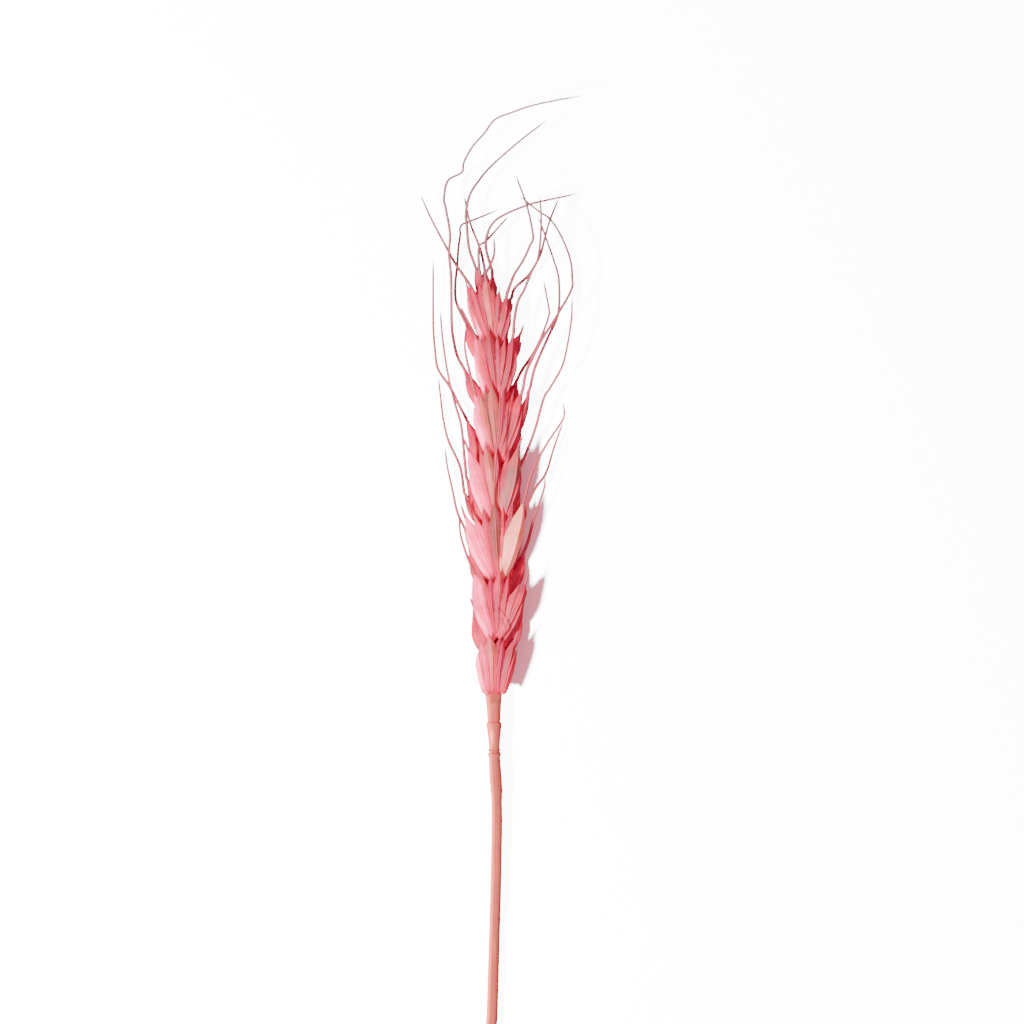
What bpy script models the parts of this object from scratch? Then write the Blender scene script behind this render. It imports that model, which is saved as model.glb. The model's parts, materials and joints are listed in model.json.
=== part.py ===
"""A dried bearded wheat ear with its straw, lying on a flat surface.

Run with Blender 4.5: blender --background --python part.py
Units are metres with +Z up. The ear points along +Y and its front row of spikelets faces +Z.
Sizes below are in millimetres, measured from the foot of the ear (X to the right, Y to the tip).
"""

import math
import random

import bmesh
import bpy
import numpy as np
from mathutils import Vector

MM = 0.001

# Straw and rachis
STRAW_CUT_Y = -81.0
COLLAR_Y = -11.4
KINK_Y = -19.4
STRAW_SIDES_RESOLUTION = 6
AXIS_HEIGHT = 4.3
STRAW_END_HEIGHT = 1.13
NODE_GAP = 0.3
RACHIS_ZIGZAG = 0.3
RACHIS_THICKNESS = 0.9

# The line that the straw and the ear follow, seen from above, from the cut end to the tip
CENTRELINE = (
    (-81.0, -3.0), (-65.0, -1.0), (-37.0, -0.2), (-25.0, 0.0), (-19.4, -0.1), (-13.0, -0.5),
    (0.0, -0.7), (10.0, -0.1), (19.0, 0.3), (39.0, 0.0), (59.0, -0.2), (72.0, -0.9), (86.0, -2.0),
)

# Straw radius along its length, with the collar ring and the small kink under it
STRAW_RADIUS = (
    (-81.0, 1.12), (-65.0, 1.12), (-45.0, 1.08), (-30.0, 1.08), (-21.5, 1.06), (-19.9, 1.12),
    (-19.4, 1.24), (-18.8, 1.2), (-16.5, 1.22), (-13.4, 1.14), (-12.6, 1.12), (-12.2, 1.3), (-11.7, 1.3),
)

# Rachis half width: two bare joints under the ear, then a flat zigzag strip inside it
RACHIS_HALF_WIDTH = (
    (-11.4, 1.15), (-10.6, 1.05), (-8.6, 1.22), (-6.6, 1.45), (-5.9, 1.48), (-5.4, 1.26), (-3.0, 1.4),
    (-0.6, 1.6), (0.6, 1.55), (1.6, 1.2), (3.0, 0.9), (60.0, 0.8), (72.0, 0.6),
)

# Scales: sides and rings of each one, how plump it is, and how far out its belly stands
SCALE_SIDES = 7
SCALE_RINGS = 7
LATERAL_WIDTH = 2.5
LATERAL_THICKNESS = 2.9
MIDDLE_WIDTH = 2.3
MIDDLE_THICKNESS = 2.3
CENTRE_WIDTH = 2.45
CENTRE_THICKNESS = 2.3
GLUME_WIDTH = 2.2
GLUME_THICKNESS = 1.9
LATERAL_BELLY_OUT = 2.0
LATERAL_TIP_OUT = 2.6
MIDDLE_BELLY_OUT = 2.45
MIDDLE_TIP_OUT = 3.0
CENTRE_BELLY_OUT = 2.8
CENTRE_TIP_OUT = 3.5
WIDEST_AT = 0.46
FOOT_SHARE = 0.36
KNOT_RADIUS = 0.75
KNOT_OUT = 1.2
AWN_ROOT_RADIUS = 0.3
AWN_TIP_RADIUS = 0.13
SEED = 11

# Each spikelet: name, row (+1 front, -1 back), foot along the ear, and its scales' tips.
# L and R are side lemmas, C the middle floret, K a second middle one and l or r a small extra lemma.
SPIKELETS = (
    ("front_1", 1, 1.3, (("L", -3.2, 11.0), ("R", 3.7, 11.4), ("C", -1.6, 12.2), ("K", 0.7, 11.6))),
    ("front_2", 1, 11.8, (("L", -4.7, 24.8), ("R", 5.8, 22.8), ("C", 0.5, 25.2))),
    ("front_3", 1, 23.6, (("L", -6.6, 36.2), ("R", 5.3, 38.8), ("C", -0.6, 38.8))),
    ("front_4", 1, 35.0, (("L", -5.9, 49.4), ("R", 4.4, 50.0), ("C", -2.4, 50.2))),
    ("front_5", 1, 47.6, (("L", -4.5, 60.8), ("R", 5.2, 61.2), ("C", -1.2, 62.4), ("r", 6.6, 61.4))),
    ("front_6", 1, 59.4, (("L", -4.4, 72.0), ("R", 3.3, 72.2), ("C", -1.8, 73.2))),
    ("front_7", 1, 70.4, (("L", -6.3, 82.6), ("R", 2.0, 80.2), ("C", -2.4, 83.8))),
    ("back_1", -1, 6.6, (("L", -4.8, 17.8), ("R", 5.2, 18.8), ("C", 0.3, 18.0))),
    ("back_2", -1, 18.6, (("L", -5.9, 30.6), ("R", 5.5, 28.8), ("C", -0.3, 30.6))),
    ("back_3", -1, 30.8, (("L", -6.2, 43.6), ("R", 4.2, 45.0), ("C", 0.4, 43.2), ("l", -6.6, 40.4),
                          ("r", 5.9, 37.6))),
    ("back_4", -1, 43.0, (("L", -6.3, 55.6), ("R", 4.8, 55.0), ("C", -0.5, 55.6))),
    ("back_5", -1, 54.8, (("L", -6.9, 65.8), ("R", 4.1, 63.4), ("C", 0.1, 66.1))),
    ("back_6", -1, 64.6, (("L", -6.6, 75.2), ("R", 4.8, 72.6), ("C", -1.0, 74.0))),
    ("back_7", -1, 74.6, (("L", -5.4, 82.2), ("R", 2.9, 79.6))),
)
TERMINAL_FOOT = (-1.4, 76.9)
TERMINAL_TIPS = (("C", -2.6, 86.0), ("L", -4.5, 86.2), ("R", -0.9, 84.6), ("K", -3.6, 85.2))

# Spikelets slimmer than the rest: width and thickness as shares of the others
SLIMMER = {"front_1": (0.86, 0.9), "front_7": (0.9, 0.8), "back_7": (0.8, 0.5)}

# Scales that stand out of their fan: width as a share of the others, and how far they are lifted
STANDING = {("front_2", "L"): (1.15, 0.2), ("front_3", "R"): (1.25, 0.5), ("front_4", "R"): (1.15, 0.45)}

# The back spikelets that carry the ear: their side scales are pressed flat where they rest
RESTING = ("back_2", "back_5")
RESTING_PRESS = 1.0
SURFACE_LIFT = 0.28

# Awns: spikelet, scale it grows from, heights (middle, end) and its line from the scale's tip on.
AWNS = (
    ("terminal", "R", (9.4, 9.0), ((-2.2, 89.4), (-1.8, 92.4), (-0.6, 94.4), (1.4, 95.8), (5.2, 97.4),
                                        (8.6, 98.4), (15.8, 100.0))),
    ("terminal", "L", (7.4, 8.6), ((-5.6, 89.4), (-6.0, 93.6), (-6.2, 96.4), (-5.4, 100.0),
                                        (-3.6, 102.8), (-1.4, 105.4), (2.4, 108.8), (5.8, 111.6),
                                        (9.8, 114.6))),
    ("terminal", "K", (6.0, 7.2), ((-3.6, 89.6), (-2.0, 91.0), (2.2, 95.6))),
    ("terminal", "C", (4.0, 4.6), ((-3.4, 89.4), (-5.4, 94.6), (-6.5, 99.6))),
    ("front_7", "R", (12.4, 13.4), ((3.4, 83.8), (5.2, 86.6), (6.6, 89.6), (7.2, 91.4), (6.0, 97.2),
                                         (4.4, 101.6), (3.8, 103.4))),
    ("front_7", "C", (10.6, 12.2), ((-0.6, 87.6), (-0.6, 91.0))),
    ("back_7", "L", (3.8, 5.2), ((-8.2, 86.2), (-9.8, 89.0), (-13.0, 95.0), (-15.2, 99.8))),
    ("back_7", "R", (4.6, 6.6), ((3.6, 81.6), (6.4, 84.2), (8.6, 88.0), (9.6, 91.6), (10.6, 95.0),
                                      (12.4, 99.4))),
    ("back_6", "L", (2.0, 2.2), ((-8.2, 78.8), (-8.4, 82.4), (-8.0, 86.0), (-7.8, 89.4), (-7.4, 92.2),
                                      (-7.2, 94.2), (-4.4, 95.4), (0.0, 97.2))),
    ("front_6", "R", (10.4, 11.6), ((3.5, 75.2), (4.2, 78.6), (5.4, 80.8), (6.8, 84.2), (8.2, 87.2),
                                         (8.8, 93.6), (8.6, 99.2))),
    ("front_6", "L", (8.6, 9.2), ((-5.8, 74.6), (-7.2, 77.4))),
    ("back_5", "L", (6.8, 11.0), ((-8.0, 68.0), (-8.7, 71.0), (-9.1, 74.4), (-9.2, 83.4), (-9.6, 88.4),
                                       (-9.4, 92.2), (-10.2, 97.2), (-10.6, 99.2), (-9.8, 102.8),
                                       (-7.0, 104.4), (-6.6, 106.4), (-4.8, 109.6), (-2.6, 112.0),
                                       (-0.4, 114.8), (3.0, 116.2), (6.6, 117.4), (11.2, 118.4),
                                       (17.0, 119.4))),
    ("back_5", "R", (3.2, 4.2), ((5.2, 65.4), (7.6, 69.0), (9.3, 72.8), (10.4, 76.0), (10.4, 77.4),
                                      (9.4, 82.8))),
    ("front_5", "R", (9.2, 7.6), ((5.8, 64.4), (7.4, 68.0), (9.2, 71.4), (12.0, 75.8), (14.8, 80.8),
                                       (15.0, 83.2), (14.6, 87.0), (12.8, 91.6), (10.6, 95.0),
                                       (8.6, 96.4), (5.8, 98.6), (4.4, 100.0))),
    ("front_5", "r", (6.4, 5.6), ((7.5, 65.2), (9.0, 68.8), (10.4, 72.0), (12.2, 76.2), (12.4, 82.8),
                                       (11.4, 86.8), (9.8, 91.4), (8.2, 95.8))),
    ("front_5", "L", (7.8, 8.2), ((-5.6, 65.2), (-6.4, 69.4), (-6.2, 73.2))),
    ("back_4", "L", (2.6, 4.0), ((-7.6, 58.0), (-9.4, 61.6), (-11.8, 65.2), (-12.4, 68.6),
                                      (-12.8, 74.4), (-12.8, 87.0))),
    ("back_3", "L", (4.6, 5.6), ((-6.6, 48.2), (-7.2, 54.0), (-8.4, 58.2), (-9.2, 61.4), (-9.8, 64.0),
                                      (-10.8, 70.6), (-11.4, 76.8))),
    ("back_3", "l", (1.4, 1.2), ((-7.2, 44.8), (-8.2, 47.6), (-9.8, 51.0), (-10.8, 55.2),
                                      (-11.4, 60.0), (-11.8, 63.6))),
    ("back_3", "R", (6.8, 9.0), ((5.9, 48.6), (7.7, 53.4), (9.3, 59.2), (10.6, 61.4), (12.8, 65.2),
                                      (13.8, 68.6), (14.8, 74.6), (15.0, 79.8))),
    ("back_3", "r", (2.2, 2.6), ((7.6, 41.2), (9.8, 44.4), (11.2, 48.8), (12.2, 51.8), (13.2, 54.4))),
    ("front_3", "R", (9.6, 10.4), ((5.8, 40.4), (6.5, 43.2), (7.7, 46.2), (10.2, 50.6), (13.2, 55.2),
                                        (13.2, 58.2))),
    ("front_3", "C", (10.4, 10.4), ((-0.5, 43.0), (-0.1, 48.8), (0.4, 52.8), (0.6, 58.4), (0.8, 63.6))),
    ("back_2", "R", (4.4, 5.4), ((6.3, 31.0), (7.6, 36.0), (9.4, 41.2), (9.6, 43.6))),
    ("back_2", "L", (1.8, 2.4), ((-6.5, 33.2), (-8.0, 36.6), (-9.0, 41.2), (-10.0, 45.8),
                                      (-10.4, 49.4))),
    ("front_2", "L", (5.4, 4.6), ((-6.2, 28.4), (-7.3, 32.2), (-7.6, 36.0))),
)
BEAKS = (
    ("front_1", "R", (0.5, 1.4, 0.4)), ("front_2", "R", (0.5, 2.4, 0.3)), ("front_3", "L", (-0.5, 1.8, 0.3)),
    ("front_4", "L", (-0.6, 1.8, 0.2)), ("front_4", "R", (0.7, 1.6, 0.4)), ("back_1", "L", (-0.6, 1.6, 0.2)),
    ("back_1", "R", (0.8, 2.0, 0.2)), ("back_4", "R", (0.6, 1.8, 0.3)), ("back_6", "R", (0.5, 1.6, 0.2)),
)

# Finishes: linear base colour and roughness
FINISHES = {
    "straw": ((0.78, 0.36, 0.30), 0.45),
    "rachis": ((0.72, 0.27, 0.26), 0.5),
    "front": ((0.85, 0.42, 0.40), 0.42),
    "back": ((0.80, 0.28, 0.30), 0.45),
    "terminal": ((0.84, 0.38, 0.37), 0.42),
}


def clear_scene():
    """Remove whatever objects the scene holds."""
    for item in list(bpy.data.objects):
        bpy.data.objects.remove(item, do_unlink=True)


def new_collection(name):
    """A collection linked to the scene."""
    group = bpy.data.collections.new(name)
    bpy.context.scene.collection.children.link(group)
    return group


def finish(name, kind):
    """A Principled material for one sub-part."""
    colour, roughness = FINISHES[kind]
    material = bpy.data.materials.new(name)
    material.use_nodes = True
    shader = material.node_tree.nodes["Principled BSDF"]
    shader.inputs["Base Color"].default_value = (*colour, 1.0)
    shader.inputs["Roughness"].default_value = roughness
    shader.inputs["Metallic"].default_value = 0.0
    return material


def at(table, y):
    """Read a table of (position, value) pairs at y, with straight lines between them."""
    return float(np.interp(y, [row[0] for row in table], [row[1] for row in table]))


def axis_height(y):
    """Height of the axis: level in the ear, sloping down along the straw to its cut end."""
    if y >= 0.0:
        return AXIS_HEIGHT
    share = y / STRAW_CUT_Y
    return AXIS_HEIGHT + (STRAW_END_HEIGHT - AXIS_HEIGHT) * (1.35 * share - 0.35 * share * share)


def axis_point(y):
    """A point of the axis in millimetres."""
    return Vector((at(CENTRELINE, y), y, axis_height(y)))


def smooth_line(points, per_span):
    """Points of a Catmull-Rom curve through the given ones."""
    pts = [Vector(p) for p in points]
    ends = [pts[0] * 2 - pts[1]] + pts + [pts[-1] * 2 - pts[-2]]
    line = []
    for i in range(len(pts) - 1):
        a, b, c, d = ends[i:i + 4]
        for k in range(per_span):
            t = k / per_span
            line.append(0.5 * (2 * b + (c - a) * t + (2 * a - 5 * b + 4 * c - d) * t * t
                               + (3 * b - a - 3 * c + d) * t ** 3))
    line.append(pts[-1])
    return line


def thin_line(points, step):
    """Drop points of a line that lie closer than step to the one before."""
    kept = [points[0]]
    for p in points[1:-1]:
        if (p - kept[-1]).length >= step and (p - points[-1]).length >= step * 0.6:
            kept.append(p)
    kept.append(points[-1])
    return kept


def tube(name, points, radii, resolution, group):
    """A POLY curve with a bevel and filled caps, turned into a mesh object."""
    curve = bpy.data.curves.new(name, "CURVE")
    curve.dimensions = "3D"
    curve.bevel_depth = MM
    curve.bevel_resolution = resolution
    curve.use_fill_caps = True
    spline = curve.splines.new("POLY")
    spline.points.add(len(points) - 1)
    for knot, point, radius in zip(spline.points, points, radii):
        knot.co = (*(point * MM), 1.0)
        knot.radius = radius
    holder = bpy.data.objects.new(name + "_curve", curve)
    group.objects.link(holder)
    depsgraph = bpy.context.evaluated_depsgraph_get()
    mesh = bpy.data.meshes.new_from_object(holder.evaluated_get(depsgraph))
    bpy.data.objects.remove(holder, do_unlink=True)
    work = bmesh.new()
    work.from_mesh(mesh)
    bmesh.ops.remove_doubles(work, verts=work.verts, dist=1e-6)
    bmesh.ops.recalc_face_normals(work, faces=work.faces)
    work.to_mesh(mesh)
    work.free()
    mesh.name = name
    item = bpy.data.objects.new(name, mesh)
    group.objects.link(item)
    return item


def shaped_ball(name, sides, rings, place, group):
    """A UV sphere whose points are moved by place(t, angle), t from 0 at the foot to 1 at the tip."""
    work = bmesh.new()
    bmesh.ops.create_uvsphere(work, u_segments=sides, v_segments=rings, radius=1.0)
    for vert in work.verts:
        t = 1.0 - math.acos(max(-1.0, min(1.0, vert.co.z))) / math.pi
        vert.co = place(t, math.atan2(vert.co.y, vert.co.x)) * MM
    if work.calc_volume(signed=True) < 0.0:
        bmesh.ops.reverse_faces(work, faces=work.faces)
    mesh = bpy.data.meshes.new(name)
    work.to_mesh(mesh)
    work.free()
    item = bpy.data.objects.new(name, mesh)
    group.objects.link(item)
    return item


def scale_profile(t, blunt):
    """Half width of a scale along its length, as a share of its widest: narrow foot, pointed tip."""
    if t < WIDEST_AT:
        return FOOT_SHARE + (1.0 - FOOT_SHARE) * math.sin(t / WIDEST_AT * math.pi / 2)
    u = (t - WIDEST_AT) / (1.0 - WIDEST_AT)
    return max(0.0, math.cos(u * math.pi / 2)) ** blunt * 0.95 + 0.05


def scale_body(name, foot, belly, tip, out, width, thickness, group, blunt=1.25):
    """One chaff scale: a boat shape along a bent line, with a keel along its back."""
    control = belly * 2 - (foot + tip) * 0.5

    def place(t, angle):
        middle = foot * (1 - t) ** 2 + control * (2 * t * (1 - t)) + tip * t * t
        along = ((control - foot) * (1 - t) + (tip - control) * t).normalized()
        back = (out - along * out.dot(along)).normalized()
        side = along.cross(back)
        if t in (0.0, 1.0):
            return middle
        size = scale_profile(t, blunt)
        around, lift = math.cos(angle + math.pi / 2), math.sin(angle + math.pi / 2)
        deep = thickness * 0.5 * size * (1.12 if lift > 0.9 else 1.0)
        return middle + side * (around * width * 0.5 * size) + back * (lift * deep)

    return shaped_ball(name, SCALE_SIDES, SCALE_RINGS, place, group)


def scale_plan(row, foot_y, kind, tip_x, tip_y, rng, press):
    """Foot, belly, tip, outward direction, width and thickness of one scale."""
    centre = axis_point(foot_y)
    lateral = {"L": -1, "l": -1, "R": 1, "r": 1}.get(kind, 0)
    middle = {"m": -1, "n": 1}.get(kind, 0)
    small = kind in "lr"
    spread = min(1.0, abs(tip_x - centre.x) / 5.0)
    if lateral:
        belly_out = LATERAL_BELLY_OUT * (0.62 if small else 1.0) + press
        tip_out = LATERAL_TIP_OUT * (0.55 if small else 1.0) + press * 0.6
        foot = centre + Vector((lateral * 0.55, 0.5, row * 1.3))
        width, thickness = LATERAL_WIDTH, LATERAL_THICKNESS
        bulge = 0.35
        out = Vector((lateral * 0.42, 0.0, row))
        if small:
            width, thickness, bulge = 2.0, 1.7, 0.9
    elif middle:
        belly_out, tip_out, bulge = MIDDLE_BELLY_OUT, MIDDLE_TIP_OUT, 0.15
        foot = centre + Vector((middle * (0.15 + 0.35 * spread), 1.6 - 0.8 * spread, row * 1.5))
        width, thickness = MIDDLE_WIDTH, MIDDLE_THICKNESS
        out = Vector((middle * 0.2, 0.0, row))
    else:
        belly_out = CENTRE_BELLY_OUT - (0.45 if row < 0 or kind == "K" else 0.0)
        tip_out = CENTRE_TIP_OUT - (0.7 if row < 0 or kind == "K" else 0.0)
        foot = centre + Vector((0.0, 2.0, row * 1.75))
        width, thickness = CENTRE_WIDTH, CENTRE_THICKNESS
        bulge = 0.0
        out = Vector((0.0, 0.0, row))
    tip = Vector((tip_x, tip_y, axis_height(tip_y) + row * (tip_out + rng.uniform(-0.15, 0.15))))
    belly = foot.lerp(tip, 0.5)
    belly.x += (lateral or middle) * (bulge + rng.uniform(-0.1, 0.1))
    belly.z = axis_height(foot_y) + row * (belly_out + rng.uniform(-0.06, 0.06))
    return foot, belly, tip, out, width * rng.uniform(0.96, 1.04), thickness


def union(base, collection):
    """Join every object of a collection to the base with one Boolean union, then remove them."""
    boolean = base.modifiers.new("join", "BOOLEAN")
    boolean.operation = "UNION"
    boolean.operand_type = "COLLECTION"
    boolean.collection = collection
    boolean.solver = "MANIFOLD"
    apply_modifiers(base)
    for item in list(collection.objects):
        bpy.data.objects.remove(item, do_unlink=True)
    bpy.data.collections.remove(collection)


def apply_modifiers(item):
    """Replace an object's mesh with its evaluated one."""
    depsgraph = bpy.context.evaluated_depsgraph_get()
    mesh = bpy.data.meshes.new_from_object(item.evaluated_get(depsgraph))
    old = item.data
    item.modifiers.clear()
    item.data = mesh
    bpy.data.meshes.remove(old)


def tidy_mesh(item):
    """Merge crumbs that a Boolean leaves, keep the largest body and turn its faces outwards."""
    work = bmesh.new()
    work.from_mesh(item.data)
    for crumb in (0.02 * MM, 0.004 * MM, 0.0005 * MM):
        bmesh.ops.remove_doubles(work, verts=work.verts, dist=crumb)
        bmesh.ops.triangulate(work, faces=work.faces)
        if all(len(edge.link_faces) == 2 for edge in work.edges):
            break
        work.clear()
        work.from_mesh(item.data)
    left = set(work.verts)
    bodies = []
    while left:
        body, front = set(), [left.pop()]
        while front:
            vert = front.pop()
            body.add(vert)
            for edge in vert.link_edges:
                other = edge.other_vert(vert)
                if other in left:
                    left.discard(other)
                    front.append(other)
        bodies.append(body)
    bodies.sort(key=len)
    for scrap in bodies[:-1]:
        bmesh.ops.delete(work, geom=list(scrap), context="VERTS")
    bmesh.ops.recalc_face_normals(work, faces=work.faces)
    work.to_mesh(item.data)
    work.free()


def awn_line(foot_of_scale, tip, heights, route):
    """The line of one awn, from inside its scale's tip along its route."""
    start = tip + (foot_of_scale - tip).normalized() * 1.6
    flat = [Vector((tip.x, tip.y, 0.0))] + [Vector((x, y, 0.0)) for x, y in route]
    run = [0.0]
    for a, b in zip(flat, flat[1:]):
        run.append(run[-1] + (b - a).length)
    middle, end = heights
    points = [start, tip.copy()]
    for point, s in zip(flat[1:], run[1:]):
        share = s / run[-1]
        bend = 2 * middle - 0.5 * (tip.z + end)
        height = tip.z * (1 - share) ** 2 + bend * 2 * share * (1 - share) + end * share * share
        points.append(Vector((point.x, point.y, height)))
    smooth = smooth_line(points[1:], 3)
    return [start] + thin_line(smooth, 3.4)


def add_awn(name, line, group):
    """A tapering awn along a line."""
    run = [0.0]
    for a, b in zip(line, line[1:]):
        run.append(run[-1] + (b - a).length)
    radii = [AWN_ROOT_RADIUS + (AWN_TIP_RADIUS - AWN_ROOT_RADIUS) * (s / run[-1]) ** 0.8 for s in run]
    return tube(name, line, radii, 0, group)


def spikelet(name, row, foot_y, tips, rng, main):
    """One spikelet: a knot on the rachis with its glumes, lemmas, awns and beaks, as one body."""
    slim = SLIMMER.get(name, (1.0, 1.0))
    press = RESTING_PRESS if name in RESTING else 0.0
    if row < 0 and not press:
        press = -SURFACE_LIFT
    group = new_collection(name + "_repeats")
    centre = axis_point(foot_y) + Vector((0.0, 0.6, row * KNOT_OUT))
    scales = {}
    ends = {kind: (tip_x, tip_y) for kind, tip_x, tip_y in tips}
    tips = list(tips)
    for kind, side in (("m", "L"), ("n", "R")):
        if side in ends and "C" in ends:
            for middle in (0.34, 0.68) if row > 0 and name != "front_1" else (0.5,):
                share = middle + rng.uniform(-0.06, 0.06)
                x, y = (a * share + b * (1.0 - share) for a, b in zip(ends[side], ends["C"]))
                tips.append((kind, x, y - rng.uniform(0.2, 1.4)))
    for kind, tip_x, tip_y in tips:
        pressed = press if kind in "LRlr" else 0.0
        foot, belly, tip, out, width, thickness = scale_plan(row, foot_y, kind, tip_x, tip_y, rng, pressed)
        broad, lift = STANDING.get((name, kind), (1.0, 0.0))
        width, thickness = width * slim[0] * broad, thickness * slim[1]
        belly.z += lift
        scale_body(f"{name}_{kind}", foot, belly, tip, out, width, thickness, group)
        scales[kind] = (foot, tip)
        if kind in "LR":
            side = -1 if kind == "L" else 1
            reach = rng.uniform(0.64, 0.76)
            glume_tip = foot.lerp(tip, reach) + Vector((side * 1.0, 0.0, 0.0))
            glume_tip.z = axis_height(foot_y) + row * (2.5 + press)
            glume_belly = foot.lerp(tip, reach * 0.5) + Vector((side * 0.95, 0.0, 0.0))
            glume_belly.z = axis_height(foot_y) + row * (2.2 + press)
            scale_body(f"{name}_glume_{kind}", foot + Vector((side * 0.3, -0.3, 0.0)), glume_belly, glume_tip,
                       Vector((side * 0.6, 0.0, row * 1.0)), GLUME_WIDTH * slim[0], GLUME_THICKNESS * slim[1], group, 1.0)
    add_awns(name, scales, group)

    def knot(t, angle):
        around = math.sin(t * math.pi) * KNOT_RADIUS
        return centre + Vector((math.cos(angle) * around * 1.2, (t - 0.5) * 3.0, math.sin(angle) * around))

    base = shaped_ball(f"spikelet_{name}", 8, 6, knot, main)
    union(base, group)
    tidy_mesh(base)
    base.data.materials.clear()
    base.data.materials.append(finish(f"chaff_{name}", "front" if row > 0 else "back"))
    return base


def add_awns(name, scales, group):
    """The awns and beaks of one spikelet."""
    for index, (owner, kind, heights, route) in enumerate(AWNS):
        if owner == name:
            foot, tip = scales[kind]
            add_awn(f"{name}_awn_{index}", awn_line(foot, tip, heights, route), group)
    for index, (owner, kind, reach) in enumerate(BEAKS):
        if owner == name:
            foot, tip = scales[kind]
            start = tip + (foot - tip).normalized() * 1.6
            end = tip + Vector(reach)
            add_awn(f"{name}_beak_{index}", [start, tip.copy(), end], group)


def terminal(rng, main):
    """The last spikelet, at the tip of the rachis, turned across the others."""
    group = new_collection("terminal_repeats")
    foot_x, foot_y = TERMINAL_FOOT
    level = axis_height(foot_y)
    centre = Vector((foot_x, foot_y, level))
    scales = {}
    leans = {"C": -0.4, "L": 0.1, "R": 0.4, "K": 0.3}
    for kind, tip_x, tip_y in TERMINAL_TIPS:
        lean = leans[kind]
        foot = centre + Vector((0.0, 0.4, lean * 0.15))
        tip = Vector((tip_x, tip_y, level + lean * 1.3))
        belly = foot.lerp(tip, 0.45) + Vector((0.25 * (tip_x - foot_x) / 2.0, 0.0, lean * 0.35))
        scale_body(f"terminal_{kind}", foot, belly, tip, Vector((0.15 * (tip_x - foot_x), 0.0, 1.0)),
                   2.3, 1.4, group)
        scales[kind] = (foot, tip)
    add_awns("terminal", scales, group)

    def knot(t, angle):
        around = math.sin(t * math.pi) * 0.6
        return centre + Vector((math.cos(angle) * around, (t - 0.5) * 2.2, math.sin(angle) * around * 0.8))

    base = shaped_ball("spikelet_terminal", 8, 6, knot, main)
    union(base, group)
    tidy_mesh(base)
    base.data.materials.clear()
    base.data.materials.append(finish("chaff_terminal", "terminal"))
    return base


def straw(main):
    """The straw, from its plain cut end up to the collar ring."""
    stops = sorted({row[0] for row in STRAW_RADIUS} | {-73.0, -55.0, -37.0})
    points = smooth_line([axis_point(y) for y in stops], 1)
    item = tube("straw", points, [at(STRAW_RADIUS, p.y) for p in points], STRAW_SIDES_RESOLUTION, main)
    item.data.materials.append(finish("straw", "straw"))
    return item


def rachis(main):
    """The jointed axis: two bare joints, then a flat strip that zigzags between the two rows."""
    turns = [(COLLAR_Y, 0.0), (-5.0, 0.0), (0.0, 0.0)]
    feet = sorted((foot_y, row) for _, row, foot_y, _ in SPIKELETS)
    turns += [(foot_y + 1.0, -row * RACHIS_ZIGZAG) for foot_y, row in feet]
    turns.append((75.1, 0.0))
    stops = [row[0] for row in RACHIS_HALF_WIDTH if row[0] < 2.0]
    stops += [y for y, _ in turns if y > 1.0]
    stops = sorted(set(stops))

    def place(t, angle):
        position = t * (len(stops) + 1)
        index = min(max(int(round(position)) - 1, 0), len(stops) - 1)
        y = stops[index]
        if t == 0.0 or t == 1.0:
            return axis_point(y) + Vector((0.0, 0.0, at(turns, y)))
        half = at(RACHIS_HALF_WIDTH, y)
        thick = RACHIS_THICKNESS * 0.5 if y > -1.0 else min(half * 0.78, 1.15)
        thick = max(thick, RACHIS_THICKNESS * 0.5)
        centre = axis_point(y) + Vector((0.0, 0.0, at(turns, y)))
        return centre + Vector((math.cos(angle) * half, 0.0, math.sin(angle) * thick))

    item = shaped_ball("rachis", 10, len(stops) + 1, place, main)
    item.data.materials.append(finish("rachis", "rachis"))
    return item


def press_flat(items, cutters):
    """Cut the resting scales flat where they meet the surface."""
    bpy.ops.mesh.primitive_cube_add(size=1.0, location=(0.0, 40.0 * MM, -5.0 * MM))
    slab = bpy.context.object
    slab.name = "surface_cutter"
    slab.scale = (60.0 * MM, 120.0 * MM, 10.0 * MM)
    for owner in list(slab.users_collection):
        owner.objects.unlink(slab)
    cutters.objects.link(slab)
    bpy.context.view_layer.update()
    for item in items:
        boolean = item.modifiers.new("flat", "BOOLEAN")
        boolean.operation = "DIFFERENCE"
        boolean.object = slab
        boolean.solver = "EXACT"
        apply_modifiers(item)
        tidy_mesh(item)
    slab.hide_render = True
    slab.display_type = "WIRE"


def centre_on_box(items):
    """Move every mesh so that the origin is the middle of the whole box's bottom."""
    corners = np.vstack([np.array([v.co for v in item.data.vertices]) for item in items])
    low, high = corners.min(0), corners.max(0)
    shift = Vector((-(low[0] + high[0]) / 2, -(low[1] + high[1]) / 2, -low[2]))
    for item in items:
        for vert in item.data.vertices:
            vert.co += shift
        item.data.update()


def build():
    """Model the whole ear."""
    clear_scene()
    rng = random.Random(SEED)
    main = new_collection("wheat_ear")
    cutters = new_collection("wheat_ear_cutters")
    items = [straw(main), rachis(main)]
    resting = []
    for name, row, foot_y, tips in SPIKELETS:
        item = spikelet(name, row, foot_y, tips, rng, main)
        items.append(item)
        if name in RESTING:
            resting.append(item)
    items.append(terminal(rng, main))
    press_flat(resting, cutters)
    centre_on_box(items)
    cutters.hide_render = True


build()
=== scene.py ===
"""The finished look of a dried, pink-dyed bearded wheat ear lying on a pale surface.

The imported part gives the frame. Each spikelet is rebuilt here from the rule of the part's source, with
ribbed and keeled scales, its awns get a smoother line and barbs, and the straw and rachis get their ribs
and rings. Sizes are millimetres from the foot of the ear, X to the right and Y towards the tip.
"""

from __future__ import annotations

import json
import logging
import math
import random
from dataclasses import dataclass, field
from enum import Enum

import bpy
import numpy as np
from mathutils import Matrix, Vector
from mathutils.bvhtree import BVHTree

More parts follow.
